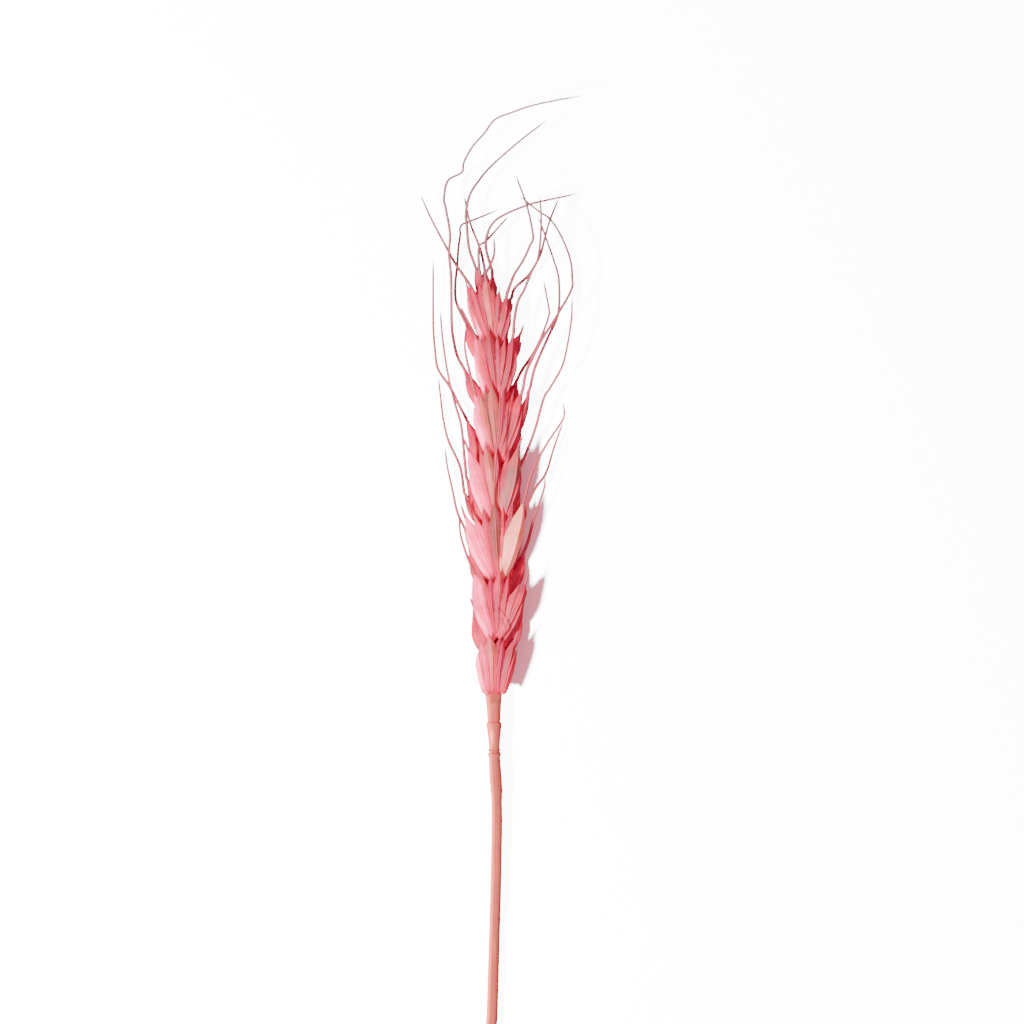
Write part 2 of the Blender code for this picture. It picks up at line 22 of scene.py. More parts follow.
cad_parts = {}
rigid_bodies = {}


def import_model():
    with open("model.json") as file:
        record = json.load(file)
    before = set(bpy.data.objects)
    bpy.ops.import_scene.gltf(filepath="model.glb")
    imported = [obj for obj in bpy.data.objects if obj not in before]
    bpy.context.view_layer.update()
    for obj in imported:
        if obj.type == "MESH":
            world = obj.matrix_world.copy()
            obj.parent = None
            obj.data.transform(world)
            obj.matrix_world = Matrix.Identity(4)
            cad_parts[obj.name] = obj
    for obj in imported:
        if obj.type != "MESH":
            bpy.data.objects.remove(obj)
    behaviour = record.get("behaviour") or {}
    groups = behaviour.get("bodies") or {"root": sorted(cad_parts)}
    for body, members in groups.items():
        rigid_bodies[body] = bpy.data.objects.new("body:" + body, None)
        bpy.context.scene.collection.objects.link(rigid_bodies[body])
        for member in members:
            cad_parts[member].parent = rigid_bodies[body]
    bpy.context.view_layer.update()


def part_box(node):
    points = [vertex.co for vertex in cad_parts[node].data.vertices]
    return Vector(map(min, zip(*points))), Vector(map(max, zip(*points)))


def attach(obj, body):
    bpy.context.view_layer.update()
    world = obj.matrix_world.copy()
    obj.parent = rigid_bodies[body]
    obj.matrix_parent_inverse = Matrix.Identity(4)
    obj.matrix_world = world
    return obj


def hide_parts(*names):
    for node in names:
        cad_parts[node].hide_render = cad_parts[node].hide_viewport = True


logging.basicConfig(level=logging.INFO, format="%(name)s: %(message)s")
LOG = logging.getLogger("wheat_ear")
MM = 0.001
Array = np.ndarray


class Row(Enum):
    """Which side of the rachis a spikelet sits on."""

    FRONT = 1
    BACK = -1


class Dye(Enum):
    """How a scale took the dye: a place from pale to crimson, and how much bare straw colour shows."""

    WHITE = (0.0, 0.08)
    PALE = (0.16, 0.05)
    BLUSH = (0.34, 0.12)
    SALMON = (0.52, 0.15)
    ROSE = (0.68, 0.08)
    MADDER = (0.78, 0.14)
    CORAL = (0.88, 0.0)
    CRIMSON = (1.0, 0.0)
    CREAM = (0.28, 0.95)
    BEIGE = (0.48, 0.8)
    OLIVE = (0.72, 0.85)
    GREIGE = (0.6, 0.9)


# Places along the ear, and how far to the right the line of straw and ear lies there
CENTRELINE = (
    (-81.0, -3.0), (-65.0, -1.0), (-37.0, -0.2), (-25.0, 0.0), (-19.4, -0.1), (-13.0, -0.5),
    (0.0, -0.7), (10.0, -0.1), (19.0, 0.3), (39.0, 0.0), (59.0, -0.2), (72.0, -0.9), (86.0, -2.0),
)


@dataclass(frozen=True)
class SpikeletPlan:
    """One spikelet: its row, its foot along the ear and the tips of its scales."""

    name: str
    row: Row
    foot_y: float
    tips: tuple[tuple[str, float, float], ...]


SPIKELETS = (
    SpikeletPlan("front_1", Row.FRONT, 1.3, (("L", -3.2, 11.0), ("R", 3.7, 11.4), ("C", -1.6, 12.2),
                                             ("K", 0.7, 11.6))),
    SpikeletPlan("front_2", Row.FRONT, 11.8, (("L", -4.7, 24.8), ("R", 5.8, 22.8), ("C", 0.5, 25.2))),
    SpikeletPlan("front_3", Row.FRONT, 23.6, (("L", -6.6, 36.2), ("R", 5.3, 38.8), ("C", -0.6, 38.8))),
    SpikeletPlan("front_4", Row.FRONT, 35.0, (("L", -5.9, 49.4), ("R", 4.4, 50.0), ("C", -2.4, 50.2))),
    SpikeletPlan("front_5", Row.FRONT, 47.6, (("L", -4.5, 60.8), ("R", 5.2, 61.2), ("C", -1.2, 62.4),
                                              ("r", 6.6, 61.4))),
    SpikeletPlan("front_6", Row.FRONT, 59.4, (("L", -4.4, 72.0), ("R", 3.3, 72.2), ("C", -1.8, 73.2))),
    SpikeletPlan("front_7", Row.FRONT, 70.4, (("L", -6.3, 82.6), ("R", 2.0, 80.2), ("C", -2.4, 83.8))),
    SpikeletPlan("back_1", Row.BACK, 6.6, (("L", -4.8, 17.8), ("R", 5.2, 18.8), ("C", 0.3, 18.0))),
    SpikeletPlan("back_2", Row.BACK, 18.6, (("L", -5.9, 30.6), ("R", 5.5, 28.8), ("C", -0.3, 30.6))),
    SpikeletPlan("back_3", Row.BACK, 30.8, (("L", -6.2, 43.6), ("R", 4.2, 45.0), ("C", 0.4, 43.2),
                                            ("l", -6.6, 40.4), ("r", 5.9, 37.6))),
    SpikeletPlan("back_4", Row.BACK, 43.0, (("L", -6.3, 55.6), ("R", 4.8, 55.0), ("C", -0.5, 55.6))),
    SpikeletPlan("back_5", Row.BACK, 54.8, (("L", -6.9, 65.8), ("R", 4.1, 63.4), ("C", 0.1, 66.1))),
    SpikeletPlan("back_6", Row.BACK, 64.6, (("L", -6.6, 75.2), ("R", 4.8, 72.6), ("C", -1.0, 74.0))),
    SpikeletPlan("back_7", Row.BACK, 74.6, (("L", -5.4, 82.2), ("R", 2.9, 79.6))),
)
# The side and middle scales hide much of the others, so they are drawn broader than the rule has them,
# most of all in the lower half of the ear
LOWER_HALF = 47.0
BROADER = {"L": 1.25, "R": 1.25, "gL": 1.3, "gR": 1.25, "C": 1.2, "K": 1.1}
BROADER_ABOVE = {"C": 1.2, "R": 1.1, "gR": 1.1, "m1": 1.1}
# Spikelets whose scales are slimmer and thinner, and single scales that are broader and stand higher
SLIMMER = {"front_1": (0.86, 0.9), "front_7": (0.9, 0.8), "back_7": (0.8, 0.5)}
STANDING = {("front_2", "L"): (1.15, 0.2), ("front_3", "R"): (1.25, 0.5), ("front_4", "R"): (1.15, 0.45)}
# Where the lowest front scales have their feet, along the ear and up from where the rule has them
LOWEST_FEET = {"C": (-2.9, -0.5), "K": (-2.7, -0.4), "m": (-2.2, -0.2), "n": (-2.2, -0.2)}
LOWEST_SIDE_FOOT = (-1.5, 0.0)
# Spikelets with their feet below this place throw their full shadow on the sheet
SHADE_BELOW = 40.0
# The spikelets that the ear rests on
RESTING = ("back_2", "back_5")
# The terminal spikelet's foot, its scales' tips, and how far up each of them leans
TERMINAL_FOOT = (-1.4, 76.9)
TERMINAL_TIPS = (("C", -2.6, 86.0), ("L", -4.5, 86.2), ("R", -0.9, 84.6), ("K", -3.6, 85.2))
TERMINAL_LEANS = {"C": -0.4, "L": 0.1, "R": 0.4, "K": 0.3}

# How each kind of scale took the dye, and the scales that differ from their kind.
# Scales on the left are paler and those on the right darker: painted light and shade from the lamp at the
# left, over each scale's own tone
FRONT_DYES_AND_SIDE_LIGHT = {"L": Dye.PALE, "m0": Dye.BLUSH, "m1": Dye.BEIGE, "C": Dye.SALMON, "K": Dye.ROSE,
              "n1": Dye.ROSE, "n0": Dye.MADDER, "R": Dye.MADDER, "l": Dye.CORAL, "r": Dye.MADDER,
              "gL": Dye.WHITE, "gR": Dye.ROSE}
BACK_DYES_AND_SIDE_LIGHT = {"L": Dye.CORAL, "l": Dye.CORAL, "m0": Dye.ROSE, "C": Dye.ROSE, "n0": Dye.CRIMSON,
             "R": Dye.CRIMSON, "r": Dye.MADDER, "gL": Dye.CORAL, "gR": Dye.CRIMSON}
OWN_DYES_AND_SIDE_LIGHT = {
    ("front_1", "L"): Dye.BLUSH, ("front_1", "C"): Dye.BEIGE, ("front_1", "K"): Dye.ROSE,
    ("front_1", "R"): Dye.MADDER, ("front_1", "gL"): Dye.WHITE, ("front_1", "n0"): Dye.CRIMSON,
    ("front_1", "m0"): Dye.SALMON, ("front_1", "gR"): Dye.CORAL,
    ("front_2", "L"): Dye.PALE, ("front_2", "m0"): Dye.SALMON, ("front_2", "m1"): Dye.CRIMSON,
    ("front_2", "C"): Dye.MADDER, ("front_2", "n1"): Dye.CRIMSON, ("front_2", "n0"): Dye.SALMON,
    ("front_2", "R"): Dye.MADDER,
    ("front_3", "L"): Dye.PALE, ("front_3", "m0"): Dye.BLUSH, ("front_3", "m1"): Dye.SALMON,
    ("front_3", "C"): Dye.OLIVE, ("front_3", "n1"): Dye.CORAL, ("front_3", "R"): Dye.CREAM,
    ("front_4", "L"): Dye.PALE, ("front_4", "m0"): Dye.BLUSH, ("front_4", "m1"): Dye.SALMON,
    ("front_4", "C"): Dye.BEIGE, ("front_4", "n1"): Dye.CRIMSON, ("front_4", "n0"): Dye.MADDER,
    ("front_4", "R"): Dye.GREIGE,
    ("front_5", "L"): Dye.PALE, ("front_5", "m0"): Dye.BEIGE, ("front_5", "m1"): Dye.OLIVE,
    ("front_5", "C"): Dye.BEIGE, ("front_5", "n1"): Dye.ROSE,
    ("front_6", "L"): Dye.BLUSH, ("front_6", "m0"): Dye.SALMON, ("front_6", "m1"): Dye.ROSE,
    ("front_6", "C"): Dye.MADDER,
    ("front_7", "L"): Dye.SALMON, ("front_7", "m0"): Dye.SALMON, ("front_7", "m1"): Dye.ROSE,
    ("front_7", "C"): Dye.BEIGE, ("front_7", "R"): Dye.MADDER,
    ("terminal", "C"): Dye.ROSE, ("terminal", "L"): Dye.SALMON, ("terminal", "R"): Dye.MADDER,
    ("terminal", "K"): Dye.ROSE,
}


@dataclass(frozen=True)
class AwnPlan:
    """One awn: its spikelet, the scale it grows from, its middle and end heights and its line."""

    owner: str
    part: str
    heights: tuple[float, float]
    route: tuple[tuple[float, float], ...]
    girth: float = 1.0


AWNS = (
    AwnPlan("terminal", "R", (9.4, 9.0), ((-2.2, 89.4), (-1.8, 92.4), (-0.6, 94.4), (1.4, 95.8),
                                          (5.2, 97.4), (8.6, 98.4), (15.8, 100.0))),
    AwnPlan("terminal", "L", (7.4, 8.6), ((-5.6, 89.4), (-6.0, 93.6), (-6.2, 96.4), (-5.4, 100.0),
                                          (-3.6, 102.8), (-1.4, 105.4), (2.4, 108.8), (5.8, 111.6),
                                          (9.8, 114.6))),
    AwnPlan("terminal", "K", (6.0, 7.2), ((-3.6, 89.6), (-2.0, 91.0), (2.2, 95.6))),
    AwnPlan("terminal", "C", (4.0, 4.6), ((-3.4, 89.4), (-5.4, 94.6), (-6.5, 99.6))),
    AwnPlan("front_7", "R", (12.4, 13.4), ((3.4, 83.8), (5.2, 86.6), (6.6, 89.6), (7.2, 91.4), (6.0, 97.2),
                                           (4.4, 101.6), (3.8, 103.4))),
    AwnPlan("front_7", "C", (10.6, 12.2), ((-0.6, 87.6), (-0.6, 91.0))),
    AwnPlan("back_7", "L", (3.8, 5.2), ((-8.2, 86.2), (-9.8, 89.0), (-13.0, 95.0), (-15.2, 99.8))),
    AwnPlan("back_7", "R", (4.6, 6.6), ((3.6, 81.6), (6.4, 84.2), (8.6, 88.0), (9.6, 91.6), (10.6, 95.0),
                                        (12.4, 99.4))),
    AwnPlan("back_6", "L", (2.0, 2.2), ((-8.2, 78.8), (-8.4, 82.4), (-8.0, 86.0), (-7.8, 89.4),
                                        (-7.4, 92.2), (-7.2, 94.2), (-4.4, 95.4), (0.0, 97.2))),
    AwnPlan("front_6", "R", (10.4, 11.6), ((3.5, 75.2), (4.2, 78.6), (5.4, 80.8), (6.8, 84.2), (8.2, 87.2),
                                           (8.8, 93.6), (8.6, 99.2))),
    AwnPlan("front_6", "L", (8.6, 9.2), ((-5.8, 74.6), (-7.2, 77.4))),
    AwnPlan("back_5", "L", (6.8, 11.0), ((-8.0, 68.0), (-8.7, 71.0), (-9.1, 74.4), (-9.2, 83.4),
                                         (-9.6, 88.4), (-9.4, 92.2), (-10.2, 97.2), (-10.6, 99.2),
                                         (-9.8, 102.8), (-7.0, 104.4), (-6.6, 106.4), (-4.8, 109.6),
                                         (-2.6, 112.0), (-0.4, 114.8), (3.0, 116.2), (6.6, 117.4),
                                         (11.2, 118.4), (17.0, 119.4))),
    AwnPlan("back_5", "R", (3.2, 4.2), ((5.2, 65.4), (7.6, 69.0), (9.3, 72.8), (10.4, 76.0), (10.4, 77.4),
                                        (9.4, 82.8))),
    AwnPlan("front_5", "R", (9.2, 7.6), ((5.8, 64.4), (7.4, 68.0), (9.2, 71.4), (12.0, 75.8), (14.8, 80.8),
                                         (15.0, 83.2), (14.6, 87.0), (12.8, 91.6), (10.6, 95.0),
                                         (8.6, 96.4), (5.8, 98.6), (4.4, 100.0))),
    AwnPlan("front_5", "r", (6.4, 5.6), ((7.5, 65.2), (9.0, 68.8), (10.4, 72.0), (12.2, 76.2), (12.4, 82.8),
                                         (11.4, 86.8), (9.8, 91.4), (8.2, 95.8))),
    AwnPlan("front_5", "L", (7.8, 8.2), ((-5.6, 65.2), (-6.4, 69.4), (-6.2, 73.2))),
    AwnPlan("back_4", "L", (2.6, 4.0), ((-7.6, 58.0), (-9.4, 61.6), (-11.8, 65.2), (-12.4, 68.6),
                                        (-12.8, 74.4), (-12.8, 87.0))),
    AwnPlan("back_3", "L", (4.6, 5.6), ((-6.6, 48.2), (-7.2, 54.0), (-8.4, 58.2), (-9.2, 61.4),
                                        (-9.8, 64.0), (-10.8, 70.6), (-11.4, 76.8))),
    AwnPlan("back_3", "l", (1.4, 1.2), ((-7.2, 44.8), (-8.2, 47.6), (-9.8, 51.0), (-10.8, 55.2),
                                        (-11.4, 60.0), (-11.8, 63.6))),
    AwnPlan("back_3", "R", (6.8, 9.0), ((5.9, 48.6), (7.7, 53.4), (9.3, 59.2), (10.6, 61.4), (12.8, 65.2),
                                        (13.8, 68.6), (14.8, 74.6), (15.0, 79.8))),
    AwnPlan("back_3", "r", (2.2, 2.6), ((7.6, 41.2), (9.8, 44.4), (11.2, 48.8), (12.2, 51.8),
                                        (13.2, 54.4))),
    AwnPlan("front_3", "R", (9.6, 10.4), ((5.8, 40.4), (6.5, 43.2), (7.7, 46.2), (10.2, 50.6),
                                          (13.2, 55.2), (13.2, 58.2))),
    AwnPlan("front_3", "C", (10.4, 10.4), ((-0.5, 43.0), (-0.1, 48.8), (0.4, 52.8), (0.6, 58.4),
                                           (0.8, 63.6)), girth=0.62),
    AwnPlan("back_2", "R", (4.4, 5.4), ((6.3, 31.0), (7.6, 36.0), (9.4, 41.2), (9.6, 43.6))),
    AwnPlan("back_2", "L", (1.8, 2.4), ((-6.5, 33.2), (-8.0, 36.6), (-9.0, 41.2), (-10.0, 45.8),
                                        (-10.4, 49.4))),
    AwnPlan("front_1", "K", (8.8, 8.9), ((1.8, 12.9), (1.3, 14.6), (0.5, 16.0), (-0.3, 17.2)), girth=0.42),
    AwnPlan("front_2", "L", (5.4, 4.6), ((-6.2, 28.4), (-7.3, 32.2), (-7.6, 36.0))),
)
BEAKS = (
    ("front_1", "R", (0.5, 1.4, 0.4)), ("front_2", "R", (0.5, 2.4, 0.3)), ("front_3", "L", (-0.5, 1.8, 0.3)),
    ("front_4", "L", (-0.6, 1.8, 0.2)), ("front_4", "R", (0.7, 1.6, 0.4)), ("back_1", "L", (-0.6, 1.6, 0.2)),
    ("back_1", "R", (0.8, 2.0, 0.2)), ("back_4", "R", (0.6, 1.8, 0.3)), ("back_6", "R", (0.5, 1.6, 0.2)),
)


def linear(code: str) -> tuple[float, float, float, float]:
    """Turn an sRGB hex code into linear RGBA.

    Args:
        code: six hex digits.

    Returns:
        Linear red, green, blue and an alpha of 1.
    """
    parts = [int(code[i:i + 2], 16) / 255 for i in (0, 2, 4)]
    rgb = [c / 12.92 if c <= 0.04045 else ((c + 0.055) / 1.055) ** 2.4 for c in parts]
    return (*rgb, 1.0)


def read_table(table: tuple[tuple[float, float], ...], y: float | Array) -> float | Array:
    """Read a table of (position, value) pairs, with straight lines between them."""
    return np.interp(y, [row[0] for row in table], [row[1] for row in table])


def bell(x: Array, centre: float, width: float) -> Array:
    """A smooth bump of height 1."""
    return np.exp(-((x - centre) / width) ** 2)


def painted_side_light_and_shade(across: Array) -> tuple[Array, Array]:
    """Painted light and painted shade on straw, from -1 at its left side to 1 at its right."""
    return np.clip((-0.3 - across) / 0.5, 0, 1) * 0.6, np.clip((across + 0.4) / 0.7, 0, 1) * 0.5


def unit(v: Array) -> Array:
    """Vectors scaled to length 1, along the last axis."""
    return v / np.linalg.norm(v, axis=-1, keepdims=True)


def add_node(tree: bpy.types.NodeTree, kind: str, inputs: dict[str | int, object] | None = None,
             stops: tuple[tuple[float, str], ...] = (), **settings: object) -> bpy.types.Node:
    """Add a node, set its properties, and link or fill its inputs.

    Args:
        tree: the shader or geometry tree.
        kind: the node's type.
        inputs: sockets to link or values to set, by input name or number; a colour may be a hex code.
        stops: places and hex codes of a colour ramp.
        settings: the node's own properties.

    Returns:
        The new node.
    """
    node = tree.nodes.new(kind)
    for key, value in settings.items():
        setattr(node, key, value)
    for key, value in (inputs or {}).items():
        if isinstance(value, bpy.types.NodeSocket):
            tree.links.new(value, node.inputs[key])
        else:
            coded = isinstance(value, str) and node.inputs[key].type == "RGBA"
            node.inputs[key].default_value = linear(value) if coded else value
    for index, (place, code) in enumerate(stops):
        line = node.color_ramp.elements
        element = line[index] if index < 2 else line.new(place)
        element.position, element.color = place, linear(code)
    return node


def start_finish(name: str, settings: dict[str, object]) -> tuple[
        bpy.types.Material, bpy.types.NodeTree, bpy.types.Node]:
    """Start a material and set its shader's own sockets.

    Args:
        name: the material's name.
        settings: values by socket.

    Returns:
        The material, its node tree and its shader.
    """
    material = bpy.data.materials.new(name)
    material.use_nodes = True
    shader = material.node_tree.nodes["Principled BSDF"]
    for label, value in settings.items():
        shader.inputs[label].default_value = value
    return material, material.node_tree, shader


@dataclass(frozen=True)
class Axis:
    """The line that the straw and the ear follow, level in the ear and sloping down along the straw."""

    straw_cut_y: float = -81.0
    collar_y: float = -11.4
    height: float = 4.3
    end_height: float = 1.13

    def level(self, y: float | Array) -> float | Array:
        """Height of the axis above the surface."""
        share = np.minimum(np.asarray(y, float), 0.0) / self.straw_cut_y
        return self.height + (self.end_height - self.height) * (1.35 * share - 0.35 * share * share)

    def point(self, y: float) -> Array:
        """A point of the axis."""
        return np.array([float(read_table(CENTRELINE, y)), y, float(self.level(y))])


@dataclass(frozen=True)
class RowFrame:
    """Moves the ear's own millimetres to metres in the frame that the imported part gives."""

    shift: Array

    def place(self, points: Array) -> Array:
        """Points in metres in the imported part's frame."""
        return points * MM + self.shift


@dataclass
class Surface:
    """A mesh under construction: closed tubes of rings, with the marks that its finish reads."""

    points: list[Array] = field(default_factory=list)
    faces: list[list[int]] = field(default_factory=list)
    uvs: list[Array] = field(default_factory=list)
    marks: dict[str, list[Array]] = field(default_factory=dict)
    count: int = 0

    def tube(self, rings: Array, marks: dict[str, Array | float]) -> None:
        """Add a closed tube of rings, with a fan of triangles at each end.

        Args:
            rings: array of shape (rings, sides, 3).
            marks: values for each ring and side, or one for all, by name.
        """
        n, sides = rings.shape[:2]
        i, j = (a.ravel() for a in np.meshgrid(np.arange(n - 1), np.arange(sides), indexing="ij"))
        k, a = (j + 1) % sides, self.count + i * sides
        self.faces += np.stack([a + j, a + sides + j, a + sides + k, a + k], 1).tolist()
        u0, u1, v0, v1 = j / sides, (j + 1) / sides, i / (n - 1), (i + 1) / (n - 1)
        self.uvs.append(np.stack([u0, v0, u0, v1, u1, v1, u1, v0], 1).reshape(-1, 2))
        first, end, j = self.count + n * sides, self.count + (n - 1) * sides, np.arange(sides)
        k, u0, u1, um = (j + 1) % sides, j / sides, (j + 1) / sides, (j + 0.5) / sides
        self.faces += np.stack([self.count + j, self.count + k, np.full(sides, first)], 1).tolist()
        self.faces += np.stack([end + k, end + j, np.full(sides, first + 1)], 1).tolist()
        self.uvs.append(np.stack([u0, 0 * j, u1, 0 * j, um, 0 * j], 1).reshape(-1, 2))
        self.uvs.append(np.stack([u1, 0 * j + 1, u0, 0 * j + 1, um, 0 * j + 1], 1).reshape(-1, 2))
        self.points += [rings.reshape(-1, 3), np.vstack([rings[0].mean(0), rings[-1].mean(0)])]
        for name, value in marks.items():
            grid = np.broadcast_to(np.asarray(value, float), (n, sides))
            ends = [grid[0].mean(), grid[-1].mean()]
            self.marks.setdefault(name, []).append(np.concatenate([grid.ravel(), ends]))
        self.count += n * sides + 2

    def build(self, name: str, frame: RowFrame) -> bpy.types.Object:
        """Make the object, with its UV map and marks.

        Args:
            name: the object's name.
            frame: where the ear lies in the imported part's frame.

        Returns:
            The new object, at the origin.
        """
        mesh = bpy.data.meshes.new(name)
        mesh.from_pydata(frame.place(np.vstack(self.points)).tolist(), [], self.faces)
        layer = mesh.uv_layers.new(name="UVMap")
        layer.data.foreach_set("uv", np.concatenate(self.uvs).astype(np.float32).ravel())
        for label, values in self.marks.items():
            mesh.attributes.new(label, "FLOAT", "POINT").data.foreach_set(
                "value", np.concatenate(values).astype(np.float32))
        mesh.polygons.foreach_set("use_smooth", [True] * len(mesh.polygons))
        mesh.update()
        item = bpy.data.objects.new(name, mesh)
        bpy.context.scene.collection.objects.link(item)
        return item


@dataclass
class Husk:
    """One scale as planned: a bent spine, the way its back faces, its size, and how it took the dye with the
    painted light and shade of its side.
    """

    kind: str
    foot: Array
    belly: Array
    tip: Array
    out: Array
    width: float
    thickness: float
    blunt: float = 1.25
    dye: Dye = Dye.SALMON
    seed: int = 0


@dataclass
class Planner:
    """Places every scale by the rule and the seed of the part's source."""

    axis: Axis
    lateral: tuple[float, float] = (2.5, 2.9)
    middle: tuple[float, float] = (2.3, 2.3)
    centre: tuple[float, float] = (2.45, 2.3)
    glume: tuple[float, float] = (2.2, 1.9)
    small: tuple[float, float] = (2.0, 1.7)
    lateral_out: tuple[float, float] = (2.0, 2.6)
    middle_out: tuple[float, float] = (2.45, 3.0)
    centre_out: tuple[float, float] = (2.8, 3.5)
    resting_press: float = 1.0
    surface_lift: float = 0.28
    tuck: float = 1.5
    seed: int = 11

    def __post_init__(self) -> None:
        """Start the seeded draws."""
        self.rng = random.Random(self.seed)
        self.look = random.Random(self.seed + 100)

    def spikelet(self, plan: SpikeletPlan) -> list[Husk]:
        """Plan the scales of one spikelet.

        Args:
            plan: the spikelet's place and its scales' tips.

        Returns:
            The scales, each glume after its side's lemma.
        """
        slim = SLIMMER.get(plan.name, (1.0, 1.0))
        press = 0.0 if plan.row is Row.FRONT else -self.surface_lift
        if plan.name in RESTING:
            press = self.resting_press
        husks: list[Husk] = []
        for kind, x, y in list(plan.tips) + self.inner_tips(plan):
            husk = self.lemma(plan, kind, x, y, press if kind in "LRlr" else 0.0)
            broad, lift = STANDING.get((plan.name, kind), (1.0, 0.0))
            husk.width *= slim[0] * broad
            husk.thickness *= slim[1]
            husk.belly[2] += lift
            husks.append(husk)
            if kind in "LR":
                husks.append(self.glume_beside(plan, husk, press, slim))
        for husk in husks:
            self.settle(plan, husk)
        return husks

    def inner_tips(self, plan: SpikeletPlan) -> list[tuple[str, float, float]]:
        """Draw the tips of the scales between the side ones and the centre.

        Args:
            plan: the spikelet's place and its scales' tips.

        Returns:
            The kind of each scale, and its tip across and along the ear.
        """
        ends = {kind: (x, y) for kind, x, y in plan.tips}
        pair = plan.row is Row.FRONT and plan.name != "front_1"
        tips = []
        for kind, side in (("m", "L"), ("n", "R")):
            if side in ends and "C" in ends:
                for index, middle in enumerate((0.34, 0.68) if pair else (0.5,)):
                    share = middle + self.rng.uniform(-0.06, 0.06)
                    x, y = (a * share + b * (1.0 - share) for a, b in zip(ends[side], ends["C"]))
                    tips.append((kind + ("10"[index] if pair else "0"), x, y - self.rng.uniform(0.2, 1.4)))
        return tips

    def glume_beside(self, plan: SpikeletPlan, lemma: Husk, press: float, slim: tuple[float, float]) -> Husk:
        """Plan the glume that covers the lower part of a side lemma.

        Args:
            plan: the spikelet's place.
            lemma: the side lemma.
            press: how far the glume is pressed outwards.
            slim: shares of the usual width and thickness.

        Returns:
            The planned glume.
        """
        row = plan.row.value
        side = -1 if lemma.kind == "L" else 1
        level = float(self.axis.level(plan.foot_y))
        reach = self.rng.uniform(0.64, 0.76)
        run = lemma.tip - lemma.foot
        tip = lemma.foot + run * reach + [side * 1.0, 0.0, 0.0]
        tip[2] = level + row * (2.5 + press)
        belly = lemma.foot + run * reach * 0.5 + [side * 0.95, 0.0, 0.0]
        belly[2] = level + row * (2.2 + press)
        tuck = np.array([side * 0.2, 0.0, -row * 0.3])
        return Husk("g" + lemma.kind, lemma.foot + [side * 0.3, -0.3, 0.0], belly + tuck, tip + tuck,
                    np.array([side * 0.6, 0.0, row]), self.glume[0] * slim[0], self.glume[1] * slim[1], 1.0)

    def settle(self, plan: SpikeletPlan, husk: Husk) -> None:
        """Broaden a scale, tuck its foot under the scales below and give it its dye, with the painted light
        and shade of its side.

        Args:
            plan: the spikelet's place.
            husk: the scale.
        """
        husk.width *= (BROADER if plan.foot_y < LOWER_HALF else BROADER_ABOVE).get(husk.kind, 1.0)
        if plan.name == "front_1":
            reach = float(np.clip((husk.tip[0] - self.axis.point(plan.foot_y)[0]) * 0.25, -1.0, 1.0))
            husk.foot = husk.foot + [reach, *LOWEST_FEET.get(husk.kind[0], LOWEST_SIDE_FOOT)]
        elif plan.row is Row.FRONT:
            husk.foot = husk.foot + [0.0, -self.tuck, -0.1]
        kinds = FRONT_DYES_AND_SIDE_LIGHT if plan.row is Row.FRONT else BACK_DYES_AND_SIDE_LIGHT
        husk.dye = OWN_DYES_AND_SIDE_LIGHT.get((plan.name, husk.kind), kinds.get(husk.kind, Dye.SALMON))
        husk.seed = self.look.randrange(9999)

    def lemma(self, plan: SpikeletPlan, kind: str, x: float, y: float, press: float) -> Husk:
        """Plan one lemma of a spikelet.

        Args:
            plan: the spikelet's place.
            kind: which of its scales this is.
            x: the tip's place across.
            y: the tip's place along the ear.
            press: how far the scale is pressed outwards.

        Returns:
            The planned scale.
        """
        rng, row = self.rng, plan.row.value
        centre = self.axis.point(plan.foot_y)
        side = {"L": -1, "l": -1, "R": 1, "r": 1}.get(kind, 0)
        middle = {"m": -1, "n": 1}.get(kind[0], 0)
        spread = min(1.0, abs(x - centre[0]) / 5.0)
        if side:
            small = kind in "lr"
            belly_out = self.lateral_out[0] * (0.62 if small else 1.0) + press
            tip_out = self.lateral_out[1] * (0.55 if small else 1.0) + press * 0.6
            foot = centre + [side * 0.55, 0.5, row * 1.3]
            size, bulge = (self.small, 0.9) if small else (self.lateral, 0.35)
            out = np.array([side * 0.42, 0.0, row])
        elif middle:
            belly_out, tip_out = self.middle_out
            foot = centre + [middle * (0.15 + 0.35 * spread), 1.6 - 0.8 * spread, row * 1.5]
            size, bulge = self.middle, 0.15
            out = np.array([middle * 0.2, 0.0, row])
        else:
            low = row < 0 or kind == "K"
            belly_out = self.centre_out[0] - (0.45 if low else 0.0)
            tip_out = self.centre_out[1] - (0.7 if low else 0.0)
            foot = centre + [0.0, 2.0, row * 1.75]
            size, bulge = self.centre, 0.0
            out = np.array([0.0, 0.0, float(row)])
        tip = np.array([x, y, float(self.axis.level(y)) + row * (tip_out + rng.uniform(-0.15, 0.15))])
        belly = (foot + tip) / 2
        belly[0] += (side or middle) * (bulge + rng.uniform(-0.1, 0.1))
        belly[2] = float(self.axis.level(plan.foot_y)) + row * (belly_out + rng.uniform(-0.06, 0.06))
        return Husk(kind, foot, belly, tip, out, size[0] * rng.uniform(0.96, 1.04), size[1])

    def terminal(self) -> list[Husk]:
        """Plan the scales of the terminal spikelet.

        Returns:
            The planned scales.
        """
        x0, y0 = TERMINAL_FOOT
        centre = np.array([x0, y0, float(self.axis.level(y0))])
        husks: list[Husk] = []
        for kind, x, y in TERMINAL_TIPS:
            lean = TERMINAL_LEANS[kind]
            foot = centre + [0.0, 0.4, lean * 0.15]
            tip = np.array([x, y, centre[2] + lean * 1.3])
            belly = foot + (tip - foot) * 0.45 + [0.125 * (x - x0), 0.0, lean * 0.35]
            husks.append(Husk(kind, foot, belly, tip, np.array([0.15 * (x - x0), 0.0, 1.0]), 2.3, 1.4,
                              dye=OWN_DYES_AND_SIDE_LIGHT[("terminal", kind)], seed=self.look.randrange(9999)))
        return husks


